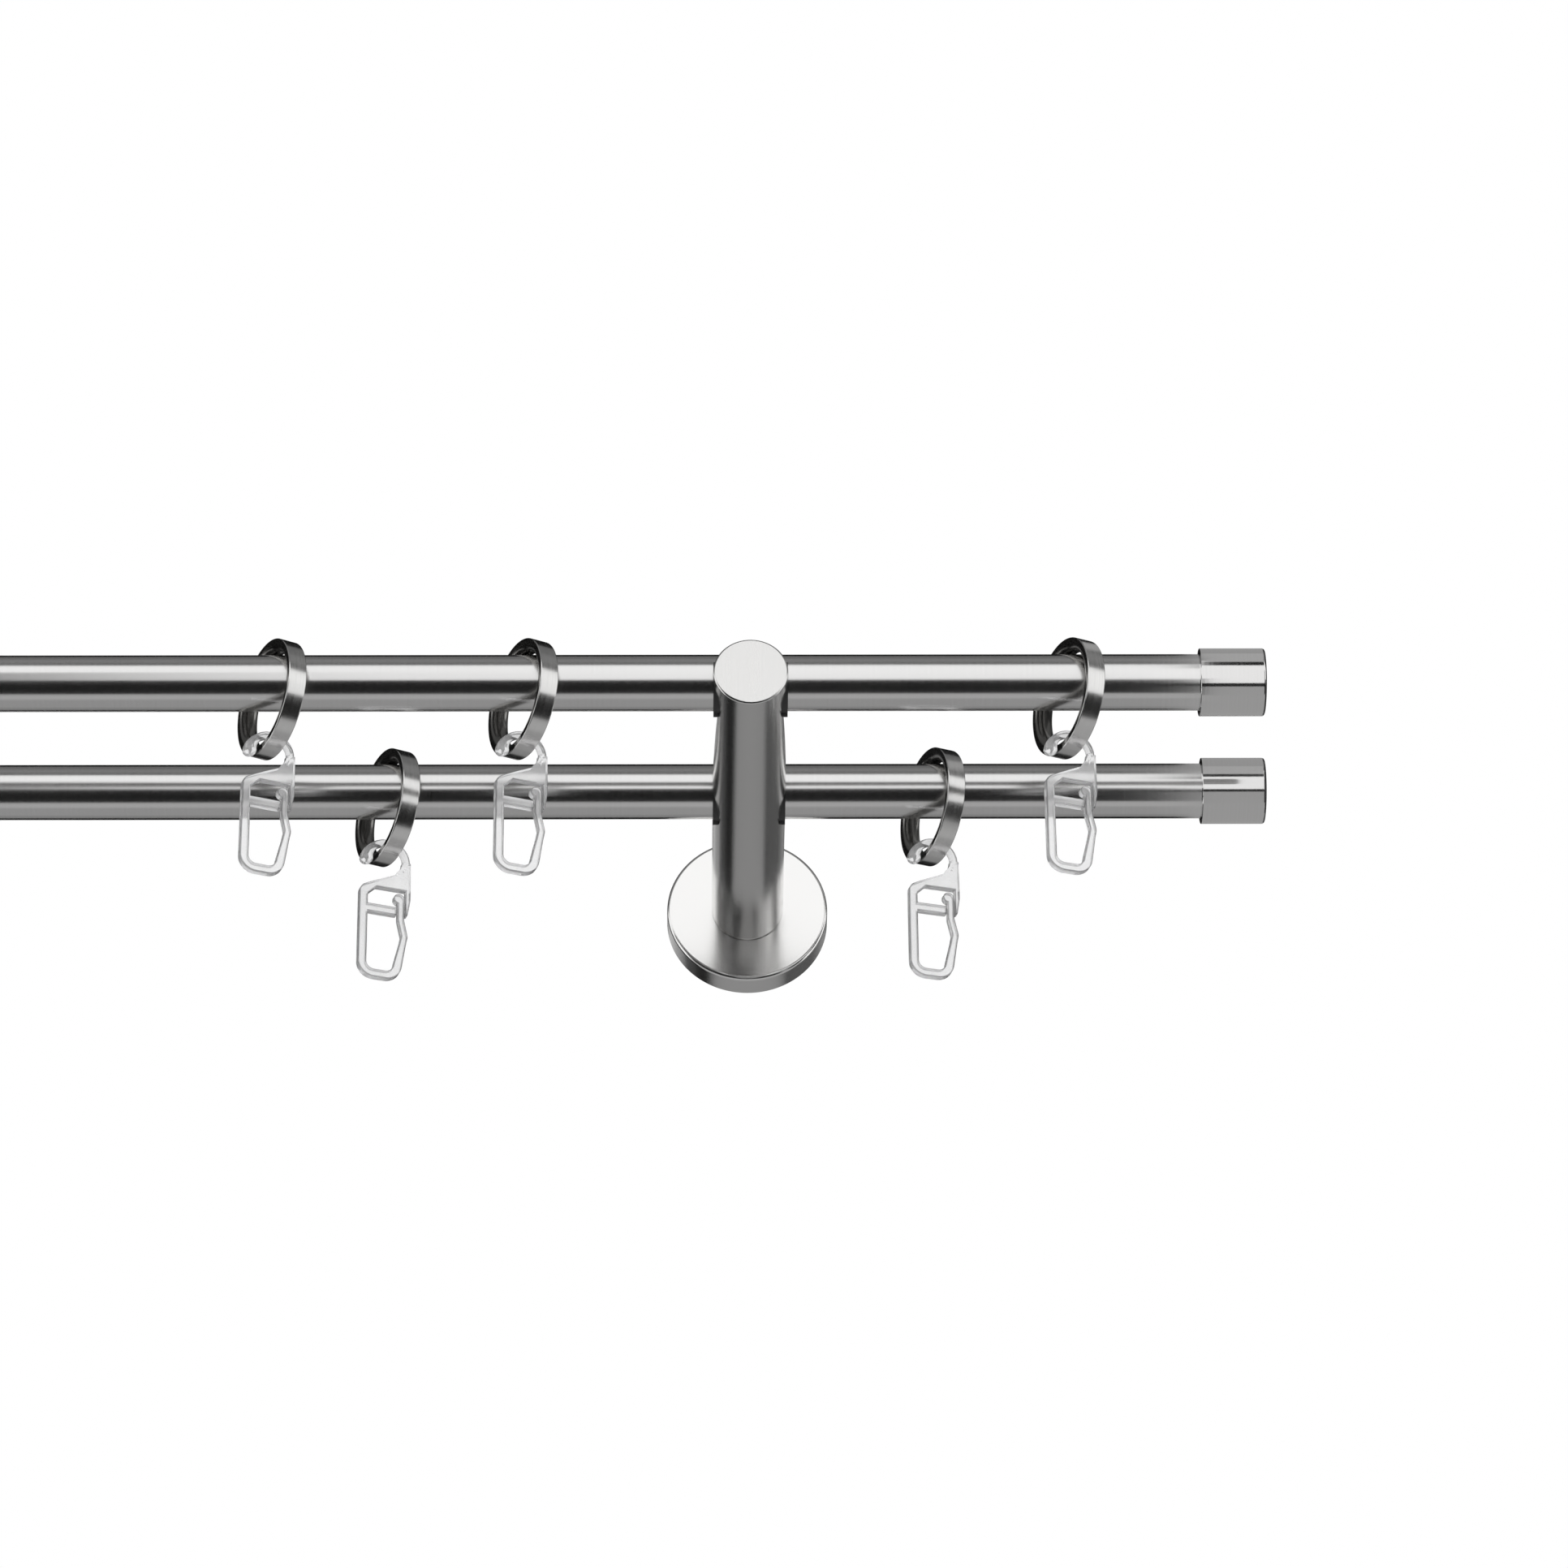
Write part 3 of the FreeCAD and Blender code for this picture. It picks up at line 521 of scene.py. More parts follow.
def plain_finish(name, colour, roughness, metallic=0.0):
    """A plain coat with a faint cloudiness."""
    look = Finish(name)
    clouds = look.noise(COAT_GRAIN, 4.0)
    look.wear({
        "Base Color": look.between(clouds, tone(colour, COAT_TONE), tone(colour)),
        "Metallic": metallic,
        "Roughness": roughness + (clouds - 0.5) * COAT_SWING,
        "Normal": look.bump(clouds, COAT_DEPTH),
    })
    return look.material


def clear_plastic(colours):
    """Clear moulded plastic: milky inside, with painted shade in its colour where it is seen edge on and on its
    rounded edges, and with the marks of its mould.
    """
    look = Finish("clear_plastic")
    x, _, z = look.split(look.place)
    waves = look.noise(PLASTIC_WAVES, 2.0)
    haze = look.noise(PLASTIC_HAZE)
    marks = 0.0
    for across, height, radius in MOULD_MARKS:
        marks = marks + (look.reach(x - across, 0.0, z - height) < radius)
    seam = abs(z - NECK_SEAM["height"] + (x - NECK_SEAM["across"]) * NECK_SEAM["slope"]) < NECK_SEAM["width"]
    marks = marks - seam * (x > NECK_SEAM["start"]) * NECK_SEAM["depth"]
    # Painted shade: the colour turns dark where the plastic is seen edge on and on its marked rounded edges
    edge_on = look.node("ShaderNodeLayerWeight", inputs={"Blend": 0.5}, output="Facing")
    on_edge = look.node("ShaderNodeAttribute", {"attribute_name": PAINTED_EDGE_SHADE}, output="Fac")
    dark = (edge_on * edge_on * edge_on * RIM_PAINTED_SHADE).most(on_edge * EDGE_PAINTED_SHADE)
    look.wear({
        "Base Color": look.between(dark, tone(colours.hook_plastic), tone(colours.hook_painted_shade)),
        "Roughness": PLASTIC_ROUGHNESS + haze * LINE_SWING,
        "Normal": look.bump(waves * WAVE_LIFT + haze * HAZE_LIFT + marks, MOULD_DEPTH),
        "Transmission Weight": colours.hook_clearness,
        "IOR": PLASTIC_INDEX,
    })
    return look.material


# What a user may change
def length(label, note, default):
    return FloatProperty(name=label, description=note, default=default, min=0.0, unit="LENGTH")


def colour(label, note, default):
    return FloatVectorProperty(
        name=label, description=note, default=default, size=3, min=0.0, max=1.0, subtype="COLOR"
    )


def level(label, note, default):
    return FloatProperty(name=label, description=note, default=default, min=0.0, max=10.0)


def angle(label, note, degrees):
    return FloatProperty(name=label, description=note, default=math.radians(degrees), unit="ROTATION")


def place(label, note, default):
    return FloatVectorProperty(name=label, description=note, default=default, size=3, subtype="TRANSLATION")


class CurtainPoleSizes(bpy.types.PropertyGroup):
    """Small sizes of the dressed pieces."""

    pole_wall: length("Tube Wall", "Wall of both poles", 0.001)
    pole_edge: length("Tube Edge", "Broken edge at a pole's ends", 0.00015)
    cap_edge: length("Cap Edge", "Rounding at a cap's closed end", 0.0008)
    cap_mouth: length("Cap Mouth Edge", "Broken edge at a cap's mouth", 0.00015)
    cap_end: length("Cap End Wall", "Thickness of a cap's closed end", 0.0025)
    cap_gap: length("Cap Clearance", "Room between a cap and its pole", 0.00005)
    rosette_wall: length("Rosette Wall", "Sheet thickness of a rosette", 0.0015)
    rosette_edge: length("Rosette Edge", "Rounding of a rosette's front edge", 0.0012)
    rosette_hole: length("Rosette Hole", "Radius of the hole in a rosette", 0.00625)
    arm_edge: length("Arm Edge", "Broken edges of the milled arm", 0.0002)
    ring_width: length("Ring Width", "Width of a ring along the pole", 0.0054)
    ring_section: length("Ring Section", "Thickness of a ring", 0.0036)
    ring_inner_round: length("Ring Inner Round", "Rounding inside a ring", 0.0024)
    ring_outer_edge: length("Ring Outer Edge", "Broken edge outside a ring", 0.0003)
    hook_edge: length("Hook Edge", "Rounding of a hook's edges", 0.0003)
    thread_pitch: length("Thread Pitch", "Pitch of the grub screw's thread", 0.0007)
    segments: IntProperty(name="Segments", description="Faces round a turned piece", default=128, min=16, max=512)


class CurtainPoleColours(bpy.types.PropertyGroup):
    """Colours and roughness of the finishes."""

    pole_steel: colour("Pole Steel", "Colour of the tubes", (0.86, 0.855, 0.85))
    pole_roughness: level("Pole Roughness", "Roughness of the tubes", 0.2)
    cap_steel: colour("Cap Steel", "Colour of the caps", (0.8, 0.795, 0.79))
    cap_roughness: level("Cap Roughness", "Roughness of the caps", 0.1)
    bracket_steel: colour("Bracket Steel", "Colour of the arms", (0.88, 0.875, 0.865))
    rosette_steel: colour("Rosette Steel", "Colour of the rosettes", (0.97, 0.965, 0.955))
    bracket_roughness: level("Bracket Roughness", "Roughness of the arms and rosettes", 0.2)
    ring_steel: colour("Ring Steel", "Colour of the rings", (0.9, 0.895, 0.885))
    # Painted shade: the darker colour of the rings' insides and sides
    ring_inside_shade: colour("Ring Inside Shade", "Colour of the rings' insides and sides", (0.3, 0.295, 0.285))
    ring_roughness: level("Ring Roughness", "Roughness of the rings", 0.19)
    zinc_plate: colour("Zinc", "Colour of the wall plates", (0.55, 0.56, 0.58))
    zinc_roughness: level("Zinc Roughness", "Roughness of the wall plates", 0.4)
    black_screw: colour("Screw", "Colour of the grub screws", (0.03, 0.03, 0.03))
    screw_roughness: level("Screw Roughness", "Roughness of the grub screws", 0.35)
    screw_metal: level("Screw Metal", "How metallic the black of the grub screws is", 0.6)
    black_plastic: colour("Liner Plastic", "Colour of the cradle liners", (0.02, 0.02, 0.02))
    liner_roughness: level("Liner Roughness", "Roughness of the cradle liners", 0.45)
    hook_plastic: colour("Hook Plastic", "Tint of the clear hooks", (0.98, 0.98, 0.985))
    # Painted shade: the dark colour of the hooks where they are seen edge on and on their rounded edges
    hook_painted_shade: colour("Hook Edge Shade", "Tint of the hooks where they are seen edge on", (0.04, 0.04, 0.042))
    hook_clearness: level("Hook Clearness", "How much light goes through the hooks", 0.74)


class CurtainPoleStudio(bpy.types.PropertyGroup):
    """The camera's place and the studio's light levels."""

    camera_place: place("Camera", "Where the camera stands", (-0.01813, -1.74067, -0.96483))
    camera_yaw: angle("Yaw", "Turn of the camera to the right", 0.974)
    camera_rise: angle("Rise", "How far the camera looks up", 30.19)
    camera_roll: angle("Roll", "Turn of the camera about its line of sight", -0.573)
    lens: FloatProperty(name="Lens", description="Focal length in millimetres", default=152.77, min=1.0)
    sky: level("Sky", "Level of the plain light from all round", 0.8)
    key: level("Key Lamp", "Power of the soft lamp in front, in watts", 9.0)
    key_place: place("Key Lamp Place", "Where the soft lamp hangs, aimed at the origin", (-0.9, -1.5, 1.6))
    key_size: length("Key Lamp Size", "Side of the soft lamp", 1.2)
    floor_drop: length("Floor Drop", "How far the floor lies below the pole", 4.2)
    floor_side: length("Floor Side", "Side of the square floor", 16.0)
    floor_colour: colour("Floor Colour", "Colour of the floor", (0.95, 0.95, 0.95))
    floor_roughness: level("Floor Roughness", "Roughness of the floor", 0.9)


# Operators: one for each group of like pieces, and one for the stage
# Faces along the rounded edges of the turned pieces
CAP_CORNER_STEPS = 6
ROSETTE_CORNER_STEPS = 8


class DressPoles(bpy.types.Operator):
    """Make the two steel tubes"""

    bl_idname = "curtain_pole.poles"
    bl_label = "Poles"

    def execute(self, context):
        sizes, colours = context.scene.curtain_sizes, context.scene.curtain_colours
        steel = brushed_steel("pole_steel", colours.pole_steel, colours.pole_roughness, POLE_GRAIN)
        for node in ("front_pole", "rear_pole"):
            low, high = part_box(node)
            centre, outer, half = centre_of(node), (high.z - low.z) / 2, (high.x - low.x) / 2
            inner, edge = outer - sizes.pole_wall, sizes.pole_edge
            section = [
                (-half, inner + edge), (-half, outer - edge), (-half + edge, outer),
                (half - edge, outer), (half, outer - edge), (half, inner + edge),
                (half - edge, inner), (-half + edge, inner),
            ]
            piece = turned(node + "_tube", section, Vector((1, 0, 0)), centre, sizes.segments, closed=True)
            mark_places(piece, centre)
            finish_piece(piece, steel, node)
        return {"FINISHED"}


class DressCaps(bpy.types.Operator):
    """Make the turned caps over the ends of the tubes"""

    bl_idname = "curtain_pole.caps"
    bl_label = "End Caps"

    def execute(self, context):
        sizes, colours = context.scene.curtain_sizes, context.scene.curtain_colours
        steel = brushed_steel("cap_steel", colours.cap_steel, colours.cap_roughness, CAP_GRAIN)
        for node in nodes_named("", "_cap_right") + nodes_named("", "_cap_left"):
            low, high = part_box(node)
            centre, outer, depth = centre_of(node), (high.z - low.z) / 2, high.x - low.x
            out = 1 if node.endswith("right") else -1
            end = Vector((high.x if out > 0 else low.x, centre.y, centre.z))
            pole_low, pole_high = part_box(node.split("_cap")[0] + "_pole")
            bore = (pole_high.z - pole_low.z) / 2 + sizes.cap_gap
            section = [(0, 0)] + round_corner(0, outer, sizes.cap_edge, CAP_CORNER_STEPS) + [
                (-depth + sizes.cap_mouth, outer), (-depth, outer - sizes.cap_mouth),
                (-depth, bore), (-sizes.cap_end, bore), (-sizes.cap_end, 0),
            ]
            piece = turned(node + "_turned", section, Vector((out, 0, 0)), end, sizes.segments, closed=False)
            mark_places(piece, centre)
            finish_piece(piece, steel, node)
        return {"FINISHED"}


# How many times wider the broken edge at an arm's foot is than its other edges
FOOT_EDGE_TIMES = 3.0
# Points up to this many edge widths from the foot belong to its broken edge
FOOT_EDGE_SPARE = 1.05


def widen_foot(piece, centre, foot, edge):
    """Widen the broken edge where an arm stands on its rosette."""
    spots = []
    for vertex in piece.data.vertices:
        depth = foot - vertex.co.y
        aside = Vector((vertex.co.x - centre.x, 0, vertex.co.z - centre.z))
        if depth < edge * FOOT_EDGE_SPARE:
            spots.append((vertex, depth, aside))
    radius = max(aside.length for _, _, aside in spots)
    for vertex, depth, aside in spots:
        short = radius - aside.length
        if short < edge * FOOT_EDGE_SPARE:
            drawn = aside * ((radius - short * FOOT_EDGE_TIMES) / aside.length)
            vertex.co = Vector((centre.x, foot - depth * FOOT_EDGE_TIMES, centre.z)) + drawn


class DressArms(bpy.types.Operator):
    """Make the milled arms that carry the tubes"""

    bl_idname = "curtain_pole.arms"
    bl_label = "Arms"

    def execute(self, context):
        sizes, colours = context.scene.curtain_sizes, context.scene.curtain_colours
        steel = arm_steel(colours)
        for node in nodes_named("arm_"):
            piece = copy_of(node, node + "_milled", sizes.arm_edge)
            widen_foot(piece, centre_of(node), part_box(node)[1].y, sizes.arm_edge)
            mark_places(piece, centre_of(node))
            finish_piece(piece, steel, node)
        return {"FINISHED"}


class DressLiners(bpy.types.Operator):
    """Make the black liners in the cradles"""

    bl_idname = "curtain_pole.liners"
    bl_label = "Cradle Liners"

    def execute(self, context):
        colours = context.scene.curtain_colours
        plastic = plain_finish("black_plastic", colours.black_plastic, colours.liner_roughness)
        for node in nodes_named("front_liner") + nodes_named("rear_liner"):
            piece = copy_of(node, node + "_clip")
            mark_places(piece, centre_of(node))
            finish_piece(piece, plastic, node)
        return {"FINISHED"}


class DressRosettes(bpy.types.Operator):
    """Make the turned cups at the wall"""

    bl_idname = "curtain_pole.rosettes"
    bl_label = "Rosettes"

    def execute(self, context):
        sizes, colours = context.scene.curtain_sizes, context.scene.curtain_colours
        steel = rosette_steel(colours)
        for node in nodes_named("rosette_"):
            low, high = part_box(node)
            centre, outer, depth = centre_of(node), (high.x - low.x) / 2, high.y - low.y
            wall, edge = sizes.rosette_wall, sizes.rosette_edge
            at_wall = Vector((centre.x, high.y, centre.z))
            front_edge = round_corner(depth, outer, edge, ROSETTE_CORNER_STEPS)
            section = [(0, outer - wall), (0, outer)] + front_edge[::-1] + [
                (depth, sizes.rosette_hole), (depth - wall, sizes.rosette_hole), (depth - wall, outer - wall),
            ]
            piece = turned(node + "_cup", section, Vector((0, -1, 0)), at_wall, sizes.segments, closed=True)
            mark_places(piece, centre)
            finish_piece(piece, steel, node)
        return {"FINISHED"}


class DressWallPlates(bpy.types.Operator):
    """Make the zinc plates behind the rosettes"""

    bl_idname = "curtain_pole.wall_plates"
    bl_label = "Wall Plates"

    def execute(self, context):
        colours = context.scene.curtain_colours
        zinc = plain_finish("zinc_plate", colours.zinc_plate, colours.zinc_roughness, metallic=1.0)
        for node in nodes_named("wall_plate"):
            piece = copy_of(node, node + "_zinc")
            mark_places(piece, centre_of(node))
            finish_piece(piece, zinc, node)
        return {"FINISHED"}


# Steps of the thread in one turn, and the sides of its ridge
THREAD_STEPS = 24
RIDGE_SIDES = 4
# The grub screw: steps round it, the sides of its socket, and shares of its core radius or of its length
SCREW_STEPS = 48
SOCKET_SIDES = 6
SCREW = {
    "point_radius": 0.5, "point_length": 0.3, "end_edge": 0.1, "end_radius": 0.92,
    "socket_radius": 0.72, "socket_depth": 0.43,
}


def thread_recipe(material):
    """A thread wound round a screw, added to the screw's own mesh."""
    recipe = Recipe("screw_thread", {
        "Geometry": "NodeSocketGeometry",
        "Core Radius": "NodeSocketFloat",
        "Length": "NodeSocketFloat",
        "Turns": "NodeSocketFloat",
        "Ridge": "NodeSocketFloat",
        "Start": "NodeSocketVector",
    })
    radius = recipe.given("Core Radius")
    spiral = recipe.node("GeometryNodeCurveSpiral", inputs={
        "Resolution": THREAD_STEPS, "Rotations": recipe.given("Turns"), "Start Radius": radius,
        "End Radius": radius, "Height": recipe.given("Length"),
    })
    ridge = recipe.node("GeometryNodeCurvePrimitiveCircle", inputs={
        "Resolution": RIDGE_SIDES, "Radius": recipe.given("Ridge"),
    })
    swept = recipe.node("GeometryNodeCurveToMesh", inputs={0: spiral, 1: ridge, "Fill Caps": True})
    laid = recipe.node("GeometryNodeTransform", inputs={
        "Geometry": swept, "Translation": recipe.given("Start"), "Rotation": (0.0, math.radians(90), 0.0),
    })
    joined = recipe.tree.nodes.new("GeometryNodeJoinGeometry")
    for part in (laid, recipe.given("Geometry")):
        recipe.tree.links.new(part.socket, joined.inputs[0])
    recipe.end(Wire(recipe, joined.outputs[0]), material)
    return recipe


class DressGrubScrews(bpy.types.Operator):
    """Make the threaded grub screws in the sides of the arms"""

    bl_idname = "curtain_pole.grub_screws"
    bl_label = "Grub Screws"

    def execute(self, context):
        sizes, colours = context.scene.curtain_sizes, context.scene.curtain_colours
        black = plain_finish("black_screw", colours.black_screw, colours.screw_roughness, colours.screw_metal)
        recipe = thread_recipe(black)
        for node in nodes_named("base_screw"):
            low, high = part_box(node)
            centre, outer, tall = centre_of(node), (high.z - low.z) / 2, high.x - low.x
            ridge = sizes.thread_pitch / 2
            core = outer - ridge
            piece = socket_screw(node + "_threaded", low.x, centre, core, tall)
            run = tall - 2 * ridge
            recipe.apply(piece, {
                "Core Radius": core, "Length": run, "Turns": run / sizes.thread_pitch, "Ridge": ridge,
                "Start": (low.x + ridge, centre.y, centre.z),
            })
            mark_places(piece, centre)
            finish_piece(piece, black, node)
        return {"FINISHED"}


def socket_screw(name, start, centre, radius, tall):
    """A headless screw along X with a hexagon socket in its outer end."""
    half_side = math.pi / SOCKET_SIDES
    shape = bmesh.new()

    def loop(x, reach):
        spots = []
        for step in range(SCREW_STEPS):
            turn = FULL_TURN * step / SCREW_STEPS
            spots.append(shape.verts.new((
                start + x, centre.y + reach(turn) * math.cos(turn), centre.z + reach(turn) * math.sin(turn),
            )))
        return spots

    def round_at(share):
        return lambda turn: radius * share

    def socket(turn):
        within = (turn + half_side) % (2 * half_side) - half_side
        return radius * SCREW["socket_radius"] / math.cos(within) * math.cos(half_side)

    loops = [
        loop(0, round_at(SCREW["point_radius"])), loop(radius * SCREW["point_length"], round_at(1)),
        loop(tall - radius * SCREW["end_edge"], round_at(1)), loop(tall, round_at(SCREW["end_radius"])),
        loop(tall, socket), loop(tall - tall * SCREW["socket_depth"], socket),
    ]
    for one, other in zip(loops, loops[1:]):
        for step in range(SCREW_STEPS):
            after = (step + 1) % SCREW_STEPS
            shape.faces.new([one[step], one[after], other[after], other[step]])
    shape.faces.new(loops[0])
    shape.faces.new(loops[-1])
    bmesh.ops.recalc_face_normals(shape, faces=shape.faces)
    return piece_of(name, shape)


# Steps round a ring, and along each corner of its section
RING_STEPS = 144
RING_CORNER_STEPS = 8


def ring_recipe(material):
    """A ring: a rounded section swept round a circle, then turned and put in its place."""
    recipe = Recipe("curtain_ring", {
        "Middle Radius": "NodeSocketFloat",
        "Section": "NodeSocketFloat",
        "Width": "NodeSocketFloat",
        "Inner Round": "NodeSocketFloat",
        "Outer Edge": "NodeSocketFloat",
        "Centre": "NodeSocketVector",
        "Turn": "NodeSocketFloat",
    })
    outline = recipe.node("GeometryNodeCurvePrimitiveQuadrilateral", inputs={
        "Width": recipe.given("Section"), "Height": recipe.given("Width"),
    })
    outward = recipe.split(recipe.node("GeometryNodeInputPosition"))[0] > 0.0
    inner, outer = recipe.given("Inner Round"), recipe.given("Outer Edge")
    corner = inner * (1 - outward) + outer * outward
    rounded = recipe.node("GeometryNodeFilletCurve", {"mode": "POLY"}, {
        "Curve": outline, "Count": RING_CORNER_STEPS, "Radius": corner,
    })
    path = recipe.node("GeometryNodeCurvePrimitiveCircle", inputs={
        "Resolution": RING_STEPS, "Radius": recipe.given("Middle Radius"),
    })
    swept = recipe.node("GeometryNodeCurveToMesh", inputs={0: path, 1: rounded})
    upright = recipe.node("GeometryNodeTransform", inputs={
        "Geometry": swept, "Rotation": (0.0, math.radians(90), 0.0),
    })
    marked = recipe.node("GeometryNodeStoreNamedAttribute", {"data_type": "FLOAT_VECTOR", "domain": "POINT"}, {
        "Geometry": upright, "Name": OWN_PLACE, "Value": recipe.node("GeometryNodeInputPosition"),
    })
    turn = recipe.node("ShaderNodeCombineXYZ", inputs=[0.0, 0.0, recipe.given("Turn")])
    placed = recipe.node("GeometryNodeTransform", inputs={
        "Geometry": marked, "Translation": recipe.given("Centre"), "Rotation": turn,
    })
    recipe.end(placed, material)
    return recipe


class DressRings(bpy.types.Operator):
    """Make the rings that slide on the tubes"""

    bl_idname = "curtain_pole.rings"
    bl_label = "Rings"

    def execute(self, context):
        sizes, colours = context.scene.curtain_sizes, context.scene.curtain_colours
        low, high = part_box("front_ring_1")
        steel = ring_steel(colours, (high.z - low.z) / 2 - sizes.ring_outer_edge)
        recipe = ring_recipe(steel)
        for node in nodes_named("front_ring") + nodes_named("rear_ring"):
            low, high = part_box(node)
            piece = new_piece(node + "_band")
            recipe.apply(piece, {
                "Middle Radius": (high.z - low.z - sizes.ring_section) / 2,
                "Section": sizes.ring_section,
                "Width": sizes.ring_width,
                "Inner Round": sizes.ring_inner_round,
                "Outer Edge": sizes.ring_outer_edge,
                "Centre": centre_of(node),
                "Turn": turn_of_ring(node),
            })
            finish_piece(piece, steel, node)
        return {"FINISHED"}


class DressHooks(bpy.types.Operator):
    """Make the clear snap hooks that hang on the rings"""

    bl_idname = "curtain_pole.hooks"
    bl_label = "Hooks"

    def execute(self, context):
        sizes, colours = context.scene.curtain_sizes, context.scene.curtain_colours
        plastic = clear_plastic(colours)
        for node in nodes_named("front_hook") + nodes_named("rear_hook"):
            pivot, turn = pivot_of(node), turn_of_hook(node)
            across = Vector((-math.sin(turn), math.cos(turn), 0))
            piece = copy_of(node, node + "_moulding", sizes.hook_edge, lambda spot: in_eye(spot, pivot, across))
            mark_places(piece, pivot, turn)
            mark_edges(piece, pivot, across)
            finish_piece(piece, plastic, node)
        return {"FINISHED"}


# The stage: its cards show only where the steel mirrors them, and a level of 1 is white
# Steps along a bent card
CARD_STEPS = 12


def glow(name, strength):
    """A card's plain light. It shines to its inner side, and from outside the card is clear."""
    material = bpy.data.materials.new(name)
    material.use_nodes = True
    graph = Graph(material.node_tree)
    graph.tree.nodes.clear()
    shine = graph.node("ShaderNodeEmission", inputs={"Color": (1, 1, 1, 1), "Strength": strength})
    clear = graph.node("ShaderNodeBsdfTransparent")
    inside = graph.node("ShaderNodeNewGeometry", output="Backfacing")
    mixed = graph.node("ShaderNodeMixShader", inputs=[inside, clear, shine])
    end = graph.tree.nodes.new("ShaderNodeOutputMaterial")
    graph.tree.links.new(mixed.socket, end.inputs["Surface"])
    material.cycles.emission_sampling = "NONE"
    return material


def card(name, rows, strength):
    """A card through rows of points that is seen in mirrored light only."""
    shape = bmesh.new()
    grid = [[shape.verts.new(spot) for spot in row] for row in rows]
    for one, other in zip(grid, grid[1:]):
        for step in range(len(one) - 1):
            shape.faces.new([one[step], one[step + 1], other[step + 1], other[step]])
    piece = piece_of(name, shape)
    give_material(piece, glow(name, strength))
    piece.visible_camera = False
    piece.visible_diffuse = False
    piece.visible_shadow = False
    piece.visible_transmission = False
    piece.visible_volume_scatter = False


def bent_card(name, centre, ends, radius, first, last, strength):
    """A card bent about a line along X. Its angles go up from the front, in degrees."""
    rows = []
    for turn in turns_between(first, last, CARD_STEPS):
        y, z = centre.y - radius * math.cos(turn), centre.z + radius * math.sin(turn)
        rows.append([Vector((x, y, z)) for x in ends])
    card(name, rows, strength)


def near_angle(mirrored, radius, rise):
    """Where a near card shows in a round piece that mirrors this direction to the camera, in degrees."""
    half_turn = (math.radians(mirrored) + rise) / 2
    return mirrored - math.degrees(math.asin(radius / CAP_CARD_RADIUS * math.sin(half_turn)))


def side_card(name, distance, first, last, low, high, strength):
    """An upright card round the pole. Its angles go from straight back towards -X, in degrees."""
    rows = []
    for turn in turns_between(first, last, CARD_STEPS):
        spot = Vector((-math.sin(turn), math.cos(turn), 0)) * distance
        rows.append([
            spot + Vector((0, 0, distance * math.tan(math.radians(rise)))) for rise in (high, low)
        ])
    card(name, rows, strength)


# Cards bent about the poles, their radius and half their length: first and last angle up from the front, and level
CARD_RADIUS = 2.6
CARD_REACH = 5.0
POLE_CARDS = {
    "card_top_front": (47, 62, 0.13),
    "card_top": (62, 84, 0.21),
    "card_top_back": (84, 108, 0.15),
    "card_back": (108, 194, 0.008),
    "card_behind": (194, 215, 0.25),
    "card_below_back": (215, 262, 0.31),
    "card_below": (262, 286, 0.42),
    "flag_below_front": (286, 337, 0.012),
    "flag_front": (337, 342, 0.05),
}
# Cards bent about a line between the two caps: first and last direction that a cap mirrors, and level
CAP_CARDS = {
    "cap_card_back": (75, 150, 0.36),
    "cap_card_top": (36, 75, 0.44),
    "cap_line_above": (24, 36, 0.02),
    "cap_card_front": (-28, 24, 1.0),
    "cap_line_below": (-38, -28, 0.02),
    "cap_card_below": (-210, -38, 0.38),
}
CAP_CARD_RADIUS = 0.18
# How far these cards start from the caps' mouths, and how far they go past their ends
CAP_CARD_START = 0.0115
CAP_CARD_REACH = 0.03
# A flag square to the poles, beyond the caps: half its width, and its level
CAP_FLAG = {"half_width": 0.05, "level": 0.05}
# Upright cards: first and last angle from straight back towards -X, lowest and highest angle, and level
SIDE_CARDS = {
    "flag_left_low": (24.5, 36, -30, -6, 0.012),
    "flag_left_middle": (24.5, 36, -6, 5, 0.06),
    "flag_left_high": (24.5, 36, 5, 60, 0.25),
    "flag_far_left": (36, 75, -30, 60, 0.012),
    "card_left_rim": (11, 24.5, 12, 50, 0.5),
    "card_right_rim": (-25, -11, 12, 50, 0.25),
    "flag_right": (-75, -25, -30, 60, 0.09),
    "flag_front_left": (125, 170, -32, 14, 0.03),
    "card_front_right": (-168, -139, -25, 10, 0.4),
}
SIDE_DISTANCE = 2.2
# A small card before each rosette, which shows in it and in the arm's underside: half its width, how far it
# stands away, its top and bottom from the rosette's middle, and its level
FOOT_CARD = {"half_width": 0.0095, "away": 0.03, "top": -0.018, "bottom": -0.06, "level": 0.2}
# The width of the camera's film in millimetres, and how far it sees in metres
FILM_WIDTH = 36.0
SIGHT = 50.0


